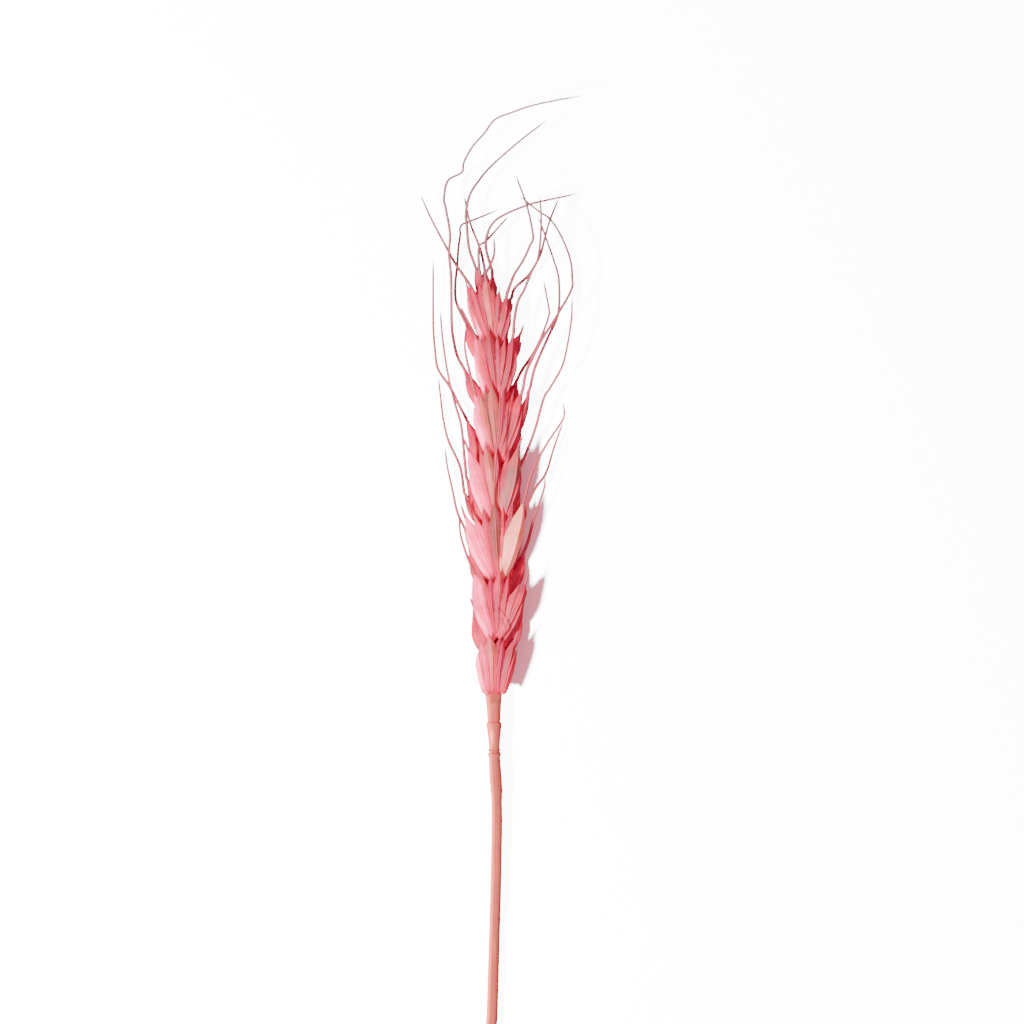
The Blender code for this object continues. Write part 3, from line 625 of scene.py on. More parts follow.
@dataclass
class Chaff:
    """The scales of one spikelet: ribbed, keeled boats with thin margins and a drawn-out tip."""

    frame: RowFrame
    sides: int = 48
    rings: int = 44
    widest_at: float = 0.46
    foot_share: float = 0.5
    keel: float = 0.16
    glume_keel: float = 0.3
    nerve: float = 0.03
    nerves_at: tuple[float, ...] = (-0.72, -0.42, 0.42, 0.72)
    folds: tuple[int, ...] = (7, 11, 16, 23)
    line_width: float = 0.12
    nerve_width: float = 0.06
    hidden_depth: float = 0.8
    twist: float = 0.22
    rim_wave: float = 0.06
    sway: float = 0.07
    beak: float = 0.75

    def profile(self, t: Array, blunt: float) -> Array:
        """Half width along the length, as a share of the widest: narrow foot, pointed tip.

        Args:
            t: places along the scale, 0 at its foot and 1 where its beak starts.
            blunt: how fast it narrows, from 1 for a blunt tip upwards.

        Returns:
            The share at each place.
        """
        grown = np.sin(np.minimum(t / self.widest_at, 1) * math.pi / 2)
        rise = self.foot_share + (1 - self.foot_share) * grown
        u = np.clip((t - self.widest_at) / (1.0 - self.widest_at), 0.0, 1.0)
        fall = np.maximum(np.cos(u * math.pi / 2), 0.0) ** blunt * 0.92 + 0.08
        past = np.clip((t - 1.0) / 0.06, 0.0, 1.0)
        return np.where(t < self.widest_at, rise, fall) * (1.0 - 0.75 * past)

    def section(self) -> tuple[Array, Array]:
        """Lay out the points of a section, three quarters of them on the side that shows.

        Returns:
            Places across, from 1 to -1 over the outer side and back under, and the turn of each.
        """
        outer = self.sides * 3 // 4
        turn = np.concatenate([np.linspace(0, math.pi, outer, endpoint=False),
                               np.linspace(math.pi, math.tau, self.sides - outer, endpoint=False)])
        flat = np.where(turn < math.pi, 1 - 2 * turn / math.pi, np.cos(turn))
        return 0.5 * np.cos(turn) + 0.5 * flat, turn

    def add(self, surface: Surface, husk: Husk) -> None:
        """Add one scale to a surface.

        Args:
            surface: where the scale goes.
            husk: the scale's plan.
        """
        rng = np.random.default_rng(husk.seed)
        glume = husk.kind.startswith("g")
        length = float(np.linalg.norm(husk.tip - husk.foot))
        t = np.linspace(0.0, 1.0, self.rings) ** 0.95 * (1.0 + self.beak / length)
        s = t[:, None]
        # The spine bends from foot to tip past the belly, and the scale twists a little along it
        control = husk.belly * 2 - (husk.foot + husk.tip) * 0.5
        spine = husk.foot * (1 - s) ** 2 + control * (2 * s * (1 - s)) + husk.tip * s * s
        along = unit((control - husk.foot) * (1 - s) + (husk.tip - control) * s)
        back = unit(husk.out - along * (along @ husk.out)[:, None])
        side = np.cross(along, back)
        turn = rng.uniform(-self.twist, self.twist) * s
        back, side = back * np.cos(turn) + side * np.sin(turn), side * np.cos(turn) - back * np.sin(turn)
        x, around = (a[None, :] for a in self.section())
        outer = around < math.pi
        share = self.profile(t, husk.blunt) * np.maximum(np.clip(t / 0.04, 0.0, 1.0) ** 0.5, 0.05)
        wide, deep = (size * 0.5 * share[:, None] for size in (husk.width, husk.thickness))
        # The outer side is a dome with a keel, shallow folds and nerves
        swell = np.sin(np.clip(s, 0, 1) * math.pi)
        body = swell ** 0.6
        ridge = float(rng.uniform(0.12, 0.3) * rng.choice([-1, 1]) if glume else rng.uniform(-0.1, 0.1))
        dome = np.sqrt(np.maximum(1 - x ** 2, 0))
        tent = np.where(x > ridge, (1 - x) / (1 - ridge), (1 + x) / (1 + ridge))
        crest = bell(x, ridge, self.line_width) * outer
        folds = sum(rng.uniform(0.004, 0.014)
                    * np.sin(count * around + rng.uniform(0, 6) + s * rng.uniform(-1.5, 1.5))
                    for count in self.folds)
        nerves = sum(bell(x, ridge + place, self.nerve_width) for place in self.nerves_at)
        keel = self.glume_keel if glume else self.keel
        shell = 0.6 * dome + 0.4 * tent + (keel * crest + folds * dome) * body
        high = np.where(outer, shell * deep + nerves * self.nerve * body, -self.hidden_depth * dome * deep)
        # The rim waves, and the scale as a whole sways from side to side
        rim = bell(np.abs(x), 1.0, self.line_width)
        wave = 1.0 + self.rim_wave * rim * (1.0 + 0.5 * np.sin(s * 23 + rng.uniform(0, 6)))
        sway = self.sway * np.sin(s * rng.uniform(5, 9) + rng.uniform(0, 6)) * swell
        rings = (spine[:, None, :] + side[:, None, :] * (x * wide * wave + sway)[..., None]
                 + back[:, None, :] * high[..., None])
        tint, bare = husk.dye.value
        surface.tube(rings, {"tint": tint + rng.uniform(-0.05, 0.05), "bare": bare, "own": rng.uniform(0, 1),
                             "along": s, "keel": crest, "rim": rim, "open": 1.0})

    def build(self, name: str, husks: list[Husk], material: bpy.types.Material) -> bpy.types.Object:
        """Make one spikelet's scales as one piece, pressed flat where they would sink into the surface.

        Args:
            name: the piece's name.
            husks: the scales.
            material: their finish.

        Returns:
            The piece, at the origin.
        """
        surface = Surface()
        for husk in husks:
            self.add(surface, husk)
        item = surface.build(name, self.frame)
        for vert in item.data.vertices:
            vert.co.z = max(vert.co.z, 0.0)
        item.data.materials.append(material)
        return item


@dataclass(frozen=True)
class Recesses:
    """Measures how open to the air each point is, for the painted shade that deepens the colour where scales
    meet.
    """

    reach: float = 6.0
    lift: float = 0.05
    rays: int = 28
    stride: int = 3

    def mark(self, items: list[bpy.types.Object]) -> None:
        """Fill the mark called open on every item by casting rays among them all.

        Args:
            items: the pieces, each with that mark.
        """
        points, faces, start = [], [], 0
        for item in items:
            points += [v.co.copy() for v in item.data.vertices]
            faces += [tuple(i + start for i in p.vertices) for p in item.data.polygons]
            start += len(item.data.vertices)
        tree = BVHTree.FromPolygons(points, faces, epsilon=0.0)
        heights = [1 - 2 * (i + 0.5) / self.rays for i in range(self.rays)]
        turns = [math.pi * (3 - math.sqrt(5)) * i for i in range(self.rays)]
        ball = [Vector((math.sqrt(1 - z * z) * math.cos(a), math.sqrt(1 - z * z) * math.sin(a), z))
                for z, a in zip(heights, turns)]
        for item in items:
            mesh = item.data
            values = np.ones(len(mesh.vertices), np.float32)
            for index in range(0, len(values), self.stride):
                normal = mesh.vertices[index].normal
                spot = mesh.vertices[index].co + normal * (self.lift * MM)
                clear = weight = 0.0
                for ray in ball:
                    facing = ray.dot(normal)
                    if facing > 0.1:
                        weight += facing
                        if tree.ray_cast(spot, ray, self.reach * MM)[0] is None:
                            clear += facing
                values[index:index + self.stride] = clear / weight if weight else 1.0
            mesh.attributes["open"].data.foreach_set("value", values)


@dataclass(frozen=True)
class DyedChaff:
    """Dry papery chaff dipped in pink dye: satin and streaked along its length, with painted shade deepest in
    the recesses and a painted highlight along the keel.

    Its low gloss keeps the scales soft, and the little light that passes through them warms their shade.
    """

    name: str
    # How much sooner the painted shade in the recesses starts
    painted_shade_shift: float
    girth_mm: float = 4.8
    streak_mm: float = 0.3
    blotch_mm: float = 3.0
    streaks_along: float = 2.0
    roughness: float = 0.52
    specular: float = 0.14
    glow: float = 0.2
    glow_mm: float = 0.7
    dyes: tuple[tuple[float, str], ...] = ((0.0, "F4648E"), (0.16, "D44074"), (0.34, "AC204C"),
                                           (0.52, "90143A"), (0.68, "780E2E"), (0.78, "6C1A28"),
                                           (0.88, "A40A36"), (1.0, "780A2E"))
    straws: tuple[tuple[float, str], ...] = ((0.0, "F0C8A0"), (0.2, "CC9070"), (0.48, "844A32"),
                                             (0.62, "664040"), (0.72, "583226"), (1.0, "401A1C"))

    def make(self) -> bpy.types.Material:
        """Build the material.

        Returns:
            The material.
        """
        material, tree, shader = start_finish(self.name, {
            "Roughness": self.roughness, "Specular IOR Level": self.specular, "Subsurface Weight": self.glow,
            "Subsurface Radius": (1.0, 0.3, 0.35), "Subsurface Scale": self.glow_mm * MM})
        tint, bare, own, along, keel, rim, opened = (
            add_node(tree, "ShaderNodeAttribute", attribute_name=name).outputs["Fac"]
            for name in ("tint", "bare", "own", "along", "keel", "rim", "open"))
        spot = add_node(tree, "ShaderNodeTexCoord").outputs["Object"]
        uv = add_node(tree, "ShaderNodeSeparateXYZ", {
            0: add_node(tree, "ShaderNodeUVMap", uv_map="UVMap").outputs[0]})
        # Streaks run the length of a scale, with their own pattern on each
        girth = add_node(tree, "ShaderNodeMath", {
            0: uv.outputs[0], 1: self.girth_mm / self.streak_mm}, operation="MULTIPLY").outputs[0]
        run = add_node(tree, "ShaderNodeMath", {
            0: uv.outputs[1], 1: self.streaks_along}, operation="MULTIPLY").outputs[0]
        apart = add_node(tree, "ShaderNodeMath", {0: own, 1: 60.0}, operation="MULTIPLY").outputs[0]
        lane = add_node(tree, "ShaderNodeCombineXYZ", {0: girth, 1: run, 2: apart}).outputs[0]
        streak = add_node(tree, "ShaderNodeTexNoise", {
            "Vector": lane, "Scale": 1.0, "Detail": 4.0, "Roughness": 0.6}).outputs["Fac"]
        blotch = add_node(tree, "ShaderNodeTexNoise", {
            "Vector": spot, "Scale": 1.0 / (self.blotch_mm * MM), "Detail": 3.0}).outputs["Fac"]
        # Streaks and blotches shift each scale's place between pale and crimson
        drift = add_node(tree, "ShaderNodeMath", {
            0: streak, 1: 0.34, 2: tint}, operation="MULTIPLY_ADD").outputs[0]
        drift = add_node(tree, "ShaderNodeMath", {
            0: blotch, 1: 0.4, 2: drift}, operation="MULTIPLY_ADD").outputs[0]
        place = add_node(tree, "ShaderNodeMath", {
            0: drift, 1: 0.37}, operation="SUBTRACT", use_clamp=True).outputs[0]
        pink = add_node(tree, "ShaderNodeValToRGB", {0: place}, stops=self.dyes).outputs[0]
        dry = add_node(tree, "ShaderNodeValToRGB", {0: place}, stops=self.straws).outputs[0]
        worn = add_node(tree, "ShaderNodeMapRange", {
            0: blotch, 1: 0.35, 2: 0.65, 3: 0.6, 4: 1.15}).outputs[0]
        worn = add_node(tree, "ShaderNodeMath", {
            0: worn, 1: bare}, operation="MULTIPLY", use_clamp=True).outputs[0]
        colour = add_node(tree, "ShaderNodeMix", {0: worn, 6: pink, 7: dry}, data_type="RGBA").outputs[2]
        # A painted highlight along the keel, brighter rims, a darker tip, dye gathered at the foot and
        # painted shade where scales touch: each layer has its source, where it starts and is full, how much
        # there is at most, and its colour
        layers = (
            # Painted highlight along the keel
            (keel, 0.4, 1.0, 0.14, "F04A62"),
            (rim, 0.3, 1.0, 0.1, "E04462"),
            (along, 0.3, 0.04, 0.6, "980634"),
            (along, 0.84, 1.02, 0.6, "601C2C"),
            # Painted shade, deepest where a point is least open
            (opened, 0.6 + self.painted_shade_shift, 0.15, 0.8, "BC0838"),
            (opened, 0.2, 0.0, 0.9, "C40A34"),
        )
        for source, start, end, most, code in layers:
            share = add_node(tree, "ShaderNodeMapRange", {0: source, 1: start, 2: end, 3: 0.0, 4: most},
                             interpolation_type="SMOOTHSTEP").outputs[0]
            colour = add_node(tree, "ShaderNodeMix", {
                0: share, 6: colour, 7: code}, data_type="RGBA").outputs[2]
        tree.links.new(colour, shader.inputs["Base Color"])
        relief = add_node(tree, "ShaderNodeBump", {"Height": streak, "Strength": 0.25, "Distance": 0.0001})
        tree.links.new(relief.outputs[0], shader.inputs["Normal"])
        return material


@dataclass(frozen=True)
class DryAwn:
    """Stiff dry bristle: rosy by the ear and greyer beyond it where the dye has faded, faintly mottled.

    A slight gloss gives the awns a thin lit line on the side of the lamp.
    """

    name: str = "dry_dyed_awn"
    # Where the dye starts to fade and where it has gone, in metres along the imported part
    fades_from: float = 0.045
    faded_at: float = 0.1
    mottle_mm: float = 2.5
    dark: str = "47232A"
    fade: tuple[tuple[float, str], ...] = ((0.0, "7C2834"), (0.35, "642C36"), (0.7, "5C3A40"),
                                           (1.0, "6C5858"))

    def make(self) -> bpy.types.Material:
        """Build the material.

        Returns:
            The material.
        """
        material, tree, shader = start_finish(self.name, {"Roughness": 0.5, "Specular IOR Level": 0.2})
        spot = add_node(tree, "ShaderNodeTexCoord").outputs["Object"]
        up = add_node(tree, "ShaderNodeSeparateXYZ", {0: spot}).outputs[1]
        place = add_node(tree, "ShaderNodeMapRange", {
            0: up, 1: self.fades_from, 2: self.faded_at}).outputs[0]
        colour = add_node(tree, "ShaderNodeValToRGB", {0: place}, stops=self.fade).outputs[0]
        mottle = add_node(tree, "ShaderNodeTexNoise", {
            "Vector": spot, "Scale": 1.0 / (self.mottle_mm * MM), "Detail": 2.0}).outputs["Fac"]
        share = add_node(tree, "ShaderNodeMapRange", {0: mottle, 1: 0.5, 2: 0.75, 3: 0.0, 4: 0.5}).outputs[0]
        colour = add_node(tree, "ShaderNodeMix", {
            0: share, 6: colour, 7: self.dark}, data_type="RGBA").outputs[2]
        tree.links.new(colour, shader.inputs["Base Color"])
        return material


@dataclass(frozen=True)
class DyedStraw:
    """Satin straw skin with fine ribs: salmon, with darker rings where the dye has gathered, painted light on
    its left side and painted shade on its right.

    Its gloss is weak and rough, so no white stripe runs along it, and its ribs break its colour into lines.
    """

    name: str
    rib_mm: float = 0.3
    rib_stretch: float = 0.02
    blotch_mm: float = 5.56
    glow_mm: float = 0.8
    # The colour of the painted light on the left side
    light: str = "F07462"
    pale: str = "A84634"
    body: str = "7E3224"
    deep: str = "602820"
    # The colour of the painted shade on the right side
    far: str = "884A40"
    ring: str = "8C082C"

    def make(self) -> bpy.types.Material:
        """Build the material.

        Returns:
            The material.
        """
        material, tree, shader = start_finish(self.name, {
            "Roughness": 0.62, "Specular IOR Level": 0.1, "Subsurface Weight": 0.12,
            "Subsurface Radius": (1.0, 0.35, 0.3), "Subsurface Scale": self.glow_mm * MM})
        spot = add_node(tree, "ShaderNodeTexCoord").outputs["Object"]
        # The ribs' pattern is drawn out along the straw
        fine = 1.0 / (self.rib_mm * MM)
        lane = add_node(tree, "ShaderNodeMapping", {
            "Vector": spot, "Scale": (fine, fine * self.rib_stretch, fine)}).outputs[0]
        streak = add_node(tree, "ShaderNodeTexNoise", {
            "Vector": lane, "Scale": 1.0, "Detail": 3.0}).outputs["Fac"]
        blotch = add_node(tree, "ShaderNodeTexNoise", {
            "Vector": spot, "Scale": 1.0 / (self.blotch_mm * MM), "Detail": 3.0}).outputs["Fac"]
        drift = add_node(tree, "ShaderNodeMath", {
            0: streak, 1: 1.2, 2: blotch}, operation="MULTIPLY_ADD").outputs[0]
        place = add_node(tree, "ShaderNodeMapRange", {0: drift, 1: 0.5, 2: 1.7}).outputs[0]
        colour = add_node(tree, "ShaderNodeValToRGB", {0: place}, stops=(
            (0.0, self.pale), (0.5, self.body), (1.0, self.deep))).outputs[0]
        # Painted shade on the right side, painted light on the left side, and the dyed rings
        for name, code in (("shade", self.far), ("pale", self.light), ("dye", self.ring)):
            share = add_node(tree, "ShaderNodeAttribute", attribute_name=name).outputs["Fac"]
            colour = add_node(tree, "ShaderNodeMix", {
                0: share, 6: colour, 7: code}, data_type="RGBA").outputs[2]
        tree.links.new(colour, shader.inputs["Base Color"])
        relief = add_node(tree, "ShaderNodeBump", {"Height": streak, "Strength": 0.4, "Distance": 0.0001})
        tree.links.new(relief.outputs[0], shader.inputs["Normal"])
        return material


@dataclass(frozen=True)
class Plain:
    """A matt finish of one colour: white paper, or the pith inside the straw."""

    name: str
    code: str
    roughness: float = 0.9

    def make(self) -> bpy.types.Material:
        """Build the material."""
        return start_finish(self.name, {"Base Color": linear(self.code), "Roughness": self.roughness})[0]


class Sweep:
    """A geometry node tree that works on curves and gives back one plain mesh."""

    def __init__(self, name: str, inputs: tuple[tuple[str, str], ...]) -> None:
        """Start the tree and its inputs.

        Args:
            name: the tree's name.
            inputs: the name and type of each input beside the curves and the material.
        """
        self.tree = bpy.data.node_groups.new(name, "GeometryNodeTree")
        self.tree.interface.new_socket("Geometry", in_out="INPUT", socket_type="NodeSocketGeometry")
        for label, kind in (*inputs, ("Material", "NodeSocketMaterial")):
            self.tree.interface.new_socket(label, in_out="INPUT", socket_type=kind)
        self.tree.interface.new_socket("Geometry", in_out="OUTPUT", socket_type="NodeSocketGeometry")
        self.given = add_node(self.tree, "NodeGroupInput").outputs

    def end(self, geometry: bpy.types.NodeSocket) -> None:
        """End the tree in Realize Instances and Set Material.

        Args:
            geometry: what the tree has made.
        """
        real = add_node(self.tree, "GeometryNodeRealizeInstances", {0: geometry}).outputs[0]
        coated = add_node(self.tree, "GeometryNodeSetMaterial", {0: real, "Material": self.given["Material"]})
        add_node(self.tree, "NodeGroupOutput", {0: coated.outputs[0]})

    def run(self, name: str, lines: list[tuple[Array, Array]], values: dict[str, object]) -> bpy.types.Object:
        """Run the tree on curves and return the result as a plain mesh object.

        Args:
            name: the new object's name.
            lines: points and radii of each curve, in metres.
            values: the tree's named inputs.

        Returns:
            The new object, with no modifier.
        """
        curve = bpy.data.curves.new(name, "CURVE")
        curve.dimensions = "3D"
        for points, radii in lines:
            spline = curve.splines.new("POLY")
            spline.points.add(len(points) - 1)
            flat = np.hstack([points, np.ones((len(points), 1))]).astype(np.float32).ravel()
            spline.points.foreach_set("co", flat)
            spline.points.foreach_set("radius", np.asarray(radii, np.float32))
        holder = bpy.data.objects.new(name, curve)
        bpy.context.scene.collection.objects.link(holder)
        modifier = holder.modifiers.new("nodes", "NODES")
        modifier.node_group = self.tree
        for socket in self.tree.interface.items_tree:
            if socket.in_out == "INPUT" and socket.name in values:
                modifier[socket.identifier] = values[socket.name]
        depsgraph = bpy.context.evaluated_depsgraph_get()
        mesh = bpy.data.meshes.new_from_object(holder.evaluated_get(depsgraph))
        bpy.data.objects.remove(holder, do_unlink=True)
        mesh.name = name
        mesh.polygons.foreach_set("use_smooth", [True] * len(mesh.polygons))
        item = bpy.data.objects.new(name, mesh)
        bpy.context.scene.collection.objects.link(item)
        return item


class AwnSweep(Sweep):
    """Sweeps awns along their lines and sets forward-leaning barbs on them."""

    barb_lean: float = 0.45
    barb_foot: float = 0.2
    barb_sizes: tuple[float, float] = (0.6, 1.2)

    def __init__(self) -> None:
        """Build the tree: a tube along each line, and three-sided cones at even spaces on it."""
        super().__init__("barbed_awns", (
            ("Step", "NodeSocketFloat"), ("Sides", "NodeSocketInt"), ("Barb Spacing", "NodeSocketFloat"),
            ("Barb Length", "NodeSocketFloat"), ("Seed", "NodeSocketInt")))
        tree, given = self.tree, self.given
        fine = add_node(tree, "GeometryNodeResampleCurve", {
            "Curve": given["Geometry"], "Length": given["Step"]}, mode="LENGTH").outputs[0]
        wide = add_node(tree, "GeometryNodeInputRadius").outputs[0]
        ring = add_node(tree, "GeometryNodeCurvePrimitiveCircle", {
            "Resolution": given["Sides"], "Radius": 1.0}).outputs[0]
        tube = add_node(tree, "GeometryNodeCurveToMesh", {
            "Curve": fine, "Profile Curve": ring, "Scale": wide, "Fill Caps": True}).outputs[0]
        spots = add_node(tree, "GeometryNodeCurveToPoints", {
            "Curve": fine, "Length": given["Barb Spacing"]}, mode="LENGTH")
        barb = add_node(tree, "GeometryNodeMeshCone", {
            "Vertices": 3, "Radius Bottom": self.barb_foot, "Radius Top": 0.0, "Depth": 1.0}).outputs[0]
        roll, size = (
            add_node(tree, "FunctionNodeRandomValue", {2: low, 3: high, "Seed": given["Seed"]},
                     data_type="FLOAT").outputs[1]
            for low, high in ((0.0, math.tau), self.barb_sizes))
        spin = add_node(tree, "ShaderNodeCombineXYZ", {2: roll}).outputs[0]
        turned = add_node(tree, "FunctionNodeRotateRotation", {0: spots.outputs["Rotation"], 1: spin},
                          rotation_space="LOCAL").outputs[0]
        leant = add_node(tree, "FunctionNodeRotateRotation", {0: turned, 1: (self.barb_lean, 0.0, 0.0)},
                         rotation_space="LOCAL").outputs[0]
        long = add_node(tree, "ShaderNodeMath", {
            0: size, 1: given["Barb Length"]}, operation="MULTIPLY").outputs[0]
        barbs = add_node(tree, "GeometryNodeInstanceOnPoints", {
            "Points": spots.outputs["Points"], "Instance": barb, "Rotation": leant, "Scale": long}).outputs[0]
        both = add_node(tree, "GeometryNodeJoinGeometry", {0: tube})
        tree.links.new(barbs, both.inputs[0])
        self.end(both.outputs[0])


class StrawSweep(Sweep):
    """Sweeps the straw with a ribbed section."""

    def __init__(self) -> None:
        """Build the tree: a circle whose radius waves round it, swept along the line."""
        super().__init__("ribbed_straw", (("Sides", "NodeSocketInt"), ("Ribs", "NodeSocketFloat"),
                                          ("Rib Height", "NodeSocketFloat")))
        tree, given = self.tree, self.given
        ring = add_node(tree, "GeometryNodeCurvePrimitiveCircle", {
            "Resolution": given["Sides"], "Radius": 1.0}).outputs[0]
        turn = add_node(tree, "GeometryNodeSplineParameter").outputs["Factor"]
        phase = add_node(tree, "ShaderNodeMath", {0: turn, 1: math.tau}, operation="MULTIPLY").outputs[0]
        phase = add_node(tree, "ShaderNodeMath", {
            0: phase, 1: given["Ribs"]}, operation="MULTIPLY").outputs[0]
        wave = add_node(tree, "ShaderNodeMath", {0: phase}, operation="SINE").outputs[0]
        grow = add_node(tree, "ShaderNodeMath", {
            0: wave, 1: given["Rib Height"], 2: 1.0}, operation="MULTIPLY_ADD").outputs[0]
        spot = add_node(tree, "GeometryNodeInputPosition").outputs[0]
        moved = add_node(tree, "ShaderNodeVectorMath", {0: spot, "Scale": grow}, operation="SCALE").outputs[0]
        ribbed = add_node(tree, "GeometryNodeSetPosition", {0: ring, "Position": moved}).outputs[0]
        wide = add_node(tree, "GeometryNodeInputRadius").outputs[0]
        tube = add_node(tree, "GeometryNodeCurveToMesh", {
            "Curve": given["Geometry"], "Profile Curve": ribbed, "Scale": wide,
            "Fill Caps": True}).outputs[0]
        self.end(tube)


@dataclass
class Awns:
    """The awns and short beaks of the spikelets."""

    frame: RowFrame
    material: bpy.types.Material
    root_radius: float = 0.35
    tip_radius: float = 0.2
    sunk: float = 1.6
    point_from: float = 0.95
    sides: int = 8
    step: float = 0.45
    barb_spacing: float = 0.6
    barb_length: float = 0.34
    seed: int = 11

    def __post_init__(self) -> None:
        """Build the tree once."""
        self.sweep = AwnSweep()

    def smooth(self, points: Array, per_span: int) -> Array:
        """Draw a Catmull-Rom curve through points.

        Args:
            points: the points to pass through.
            per_span: how many points each span gets.

        Returns:
            The curve's points.
        """
        ends = np.vstack([2 * points[0] - points[1], points, 2 * points[-1] - points[-2]])
        t = np.linspace(0, 1, per_span, endpoint=False)[:, None]
        spans = [0.5 * (2 * b + (c - a) * t + (2 * a - 5 * b + 4 * c - d) * t * t
                        + (3 * b - a - 3 * c + d) * t ** 3)
                 for a, b, c, d in zip(ends[:-3], ends[1:-2], ends[2:-1], ends[3:])]
        return np.vstack(spans + [points[-1:]])

    def root(self, husk: Husk) -> Array:
        """The point inside a scale's tip that its awn starts from."""
        return husk.tip + unit(husk.foot - husk.tip) * self.sunk

    def line(self, husk: Husk, plan: AwnPlan) -> Array:
        """Lay out one awn, from inside its scale's tip along its route.

        Args:
            husk: the scale it grows from.
            plan: its route and heights.

        Returns:
            The points of its line.
        """
        flat = np.vstack([husk.tip[:2], np.array(plan.route)])
        share = np.concatenate([[0.0], np.cumsum(np.linalg.norm(np.diff(flat, axis=0), axis=1))])
        share = share / share[-1]
        middle, end = plan.heights
        bend = 2 * middle - 0.5 * (husk.tip[2] + end)
        height = husk.tip[2] * (1 - share) ** 2 + bend * 2 * share * (1 - share) + end * share ** 2
        return np.vstack([self.root(husk), self.smooth(np.column_stack([flat, height]), 10)])

    def build(self, name: str, husks: list[Husk]) -> bpy.types.Object | None:
        """Make one spikelet's awns and beaks as one piece.

        Args:
            name: the spikelet.
            husks: its scales.

        Returns:
            The piece, or None where the spikelet has no awn.
        """
        by_kind = {husk.kind: husk for husk in husks}
        lines = [(self.line(by_kind[plan.part], plan), plan.girth) for plan in AWNS if plan.owner == name]
        for owner, kind, reach in BEAKS:
            if owner == name:
                tip = by_kind[kind].tip
                ends = np.array([self.root(by_kind[kind]), tip, tip + np.array(reach)])
                lines.append((self.smooth(ends, 8), 1.0))
        if not lines:
            return None
        ready = []
        for line, girth in lines:
            run = np.concatenate([[0.0], np.cumsum(np.linalg.norm(np.diff(line, axis=0), axis=1))])
            share = run / run[-1]
            radii = self.root_radius + (self.tip_radius - self.root_radius) * share ** 0.9
            radii = radii * np.where(share > self.point_from, 1.0 - (share - self.point_from) * 14.0, 1.0)
            ready.append((self.frame.place(line), radii * girth * MM))
        return self.sweep.run(f"awns_{name}", ready, {
            "Step": self.step * MM, "Sides": self.sides, "Barb Spacing": self.barb_spacing * MM,
            "Barb Length": self.barb_length * MM, "Seed": self.seed, "Material": self.material})


@dataclass
class Rachis:
    """The jointed axis: two bare joints under the ear, then a flat strip zigzagging between the rows."""

    frame: RowFrame
    axis: Axis
    material: bpy.types.Material
    zigzag: float = 0.3
    thickness: float = 0.9
    end_y: float = 75.1
    # Where its ledges, its grooves and its dyed rings are, and how wide each is
    ledges: tuple[tuple[float, float], ...] = ((-5.75, 0.22), (-0.2, 0.25), (-11.1, 0.2))
    grooves: tuple[tuple[float, float], ...] = ((-5.35, 0.12), (0.35, 0.14))
    dyed_rings: tuple[tuple[float, float], ...] = ((-5.45, 0.16), (0.1, 0.3), (-11.3, 0.3))
    half_width: tuple[tuple[float, float], ...] = (
        (-11.4, 1.15), (-10.6, 1.05), (-8.6, 1.22), (-6.6, 1.45), (-5.9, 1.48), (-5.4, 1.26), (-3.0, 1.4),
        (-0.6, 1.6), (0.6, 1.55), (1.6, 1.2), (3.0, 0.9), (60.0, 0.8), (72.0, 0.6))

    def build(self) -> bpy.types.Object:
        """Make the axis, marked with dye on its edges, at its rings and inside the ear, and with painted
        light on its left side and painted shade on its right.

        Returns:
            The piece, at the origin.
        """
        feet = sorted((plan.foot_y, plan.row.value) for plan in SPIKELETS)
        turns = [(self.axis.collar_y, 0.0), (-5.0, 0.0), (0.0, 0.0)]
        turns += [(foot_y + 1.0, -row * self.zigzag) for foot_y, row in feet] + [(self.end_y, 0.0)]
        y = np.concatenate([np.linspace(self.axis.collar_y, 3.0, 130), np.linspace(3.2, self.end_y, 160)])
        angle = np.linspace(0, 2 * math.pi, 64, endpoint=False)[None, :]
        half = read_table(self.half_width, y)
        thick = np.where(y > -1.0, self.thickness * 0.5, np.minimum(half * 0.78, 1.15))
        thick = np.convolve(np.pad(thick, 6, mode="edge"), np.ones(13) / 13, mode="valid")
        ledge = 1.0 + 0.06 * sum(bell(y, *place) for place in self.ledges)
        groove = 1.0 - 0.05 * sum(bell(y, *place) for place in self.grooves)
        ribs = 1.0 + 0.022 * np.sin(angle * 17) + 0.012 * np.sin(angle * 5 + 1.0)
        ribs = ribs * (ledge * groove)[:, None]
        ridge = 0.16 * bell(y, -8.4, 1.5)[:, None] * bell(angle, math.pi * 0.62, 0.35)
        x = read_table(CENTRELINE, y)[:, None] + np.cos(angle) * half[:, None] * ribs
        z = ((self.axis.level(y) + read_table(tuple(turns), y))[:, None]
             + np.sin(angle) * thick[:, None] * ribs + ridge)
        rings = np.stack([x, np.broadcast_to(y[:, None], x.shape), z], axis=-1)
        edge = np.clip((np.abs(np.cos(angle)) - 0.75) / 0.25, 0, 1)
        line = sum(bell(y, *place) for place in self.dyed_rings)[:, None]
        inside = np.clip((y - 0.2) / 1.5, 0, 1)[:, None]
        low = np.clip((-5.6 - y) / 1.5, 0, 1)[:, None]
        dye = np.clip(edge * (0.3 + 0.5 * low) + line * 0.8 + inside, 0, 1)
        # Painted light on the left side and painted shade on the right; the ridge is paler too
        left, right = painted_side_light_and_shade(np.cos(angle))
        pale = np.clip(ridge * 5.0 + left, 0, 0.8)
        surface = Surface()
        surface.tube(rings, {"dye": dye, "pale": pale, "shade": right, "open": 1.0})
        item = surface.build("rachis_joints", self.frame)
        item.data.materials.append(self.material)
        return item


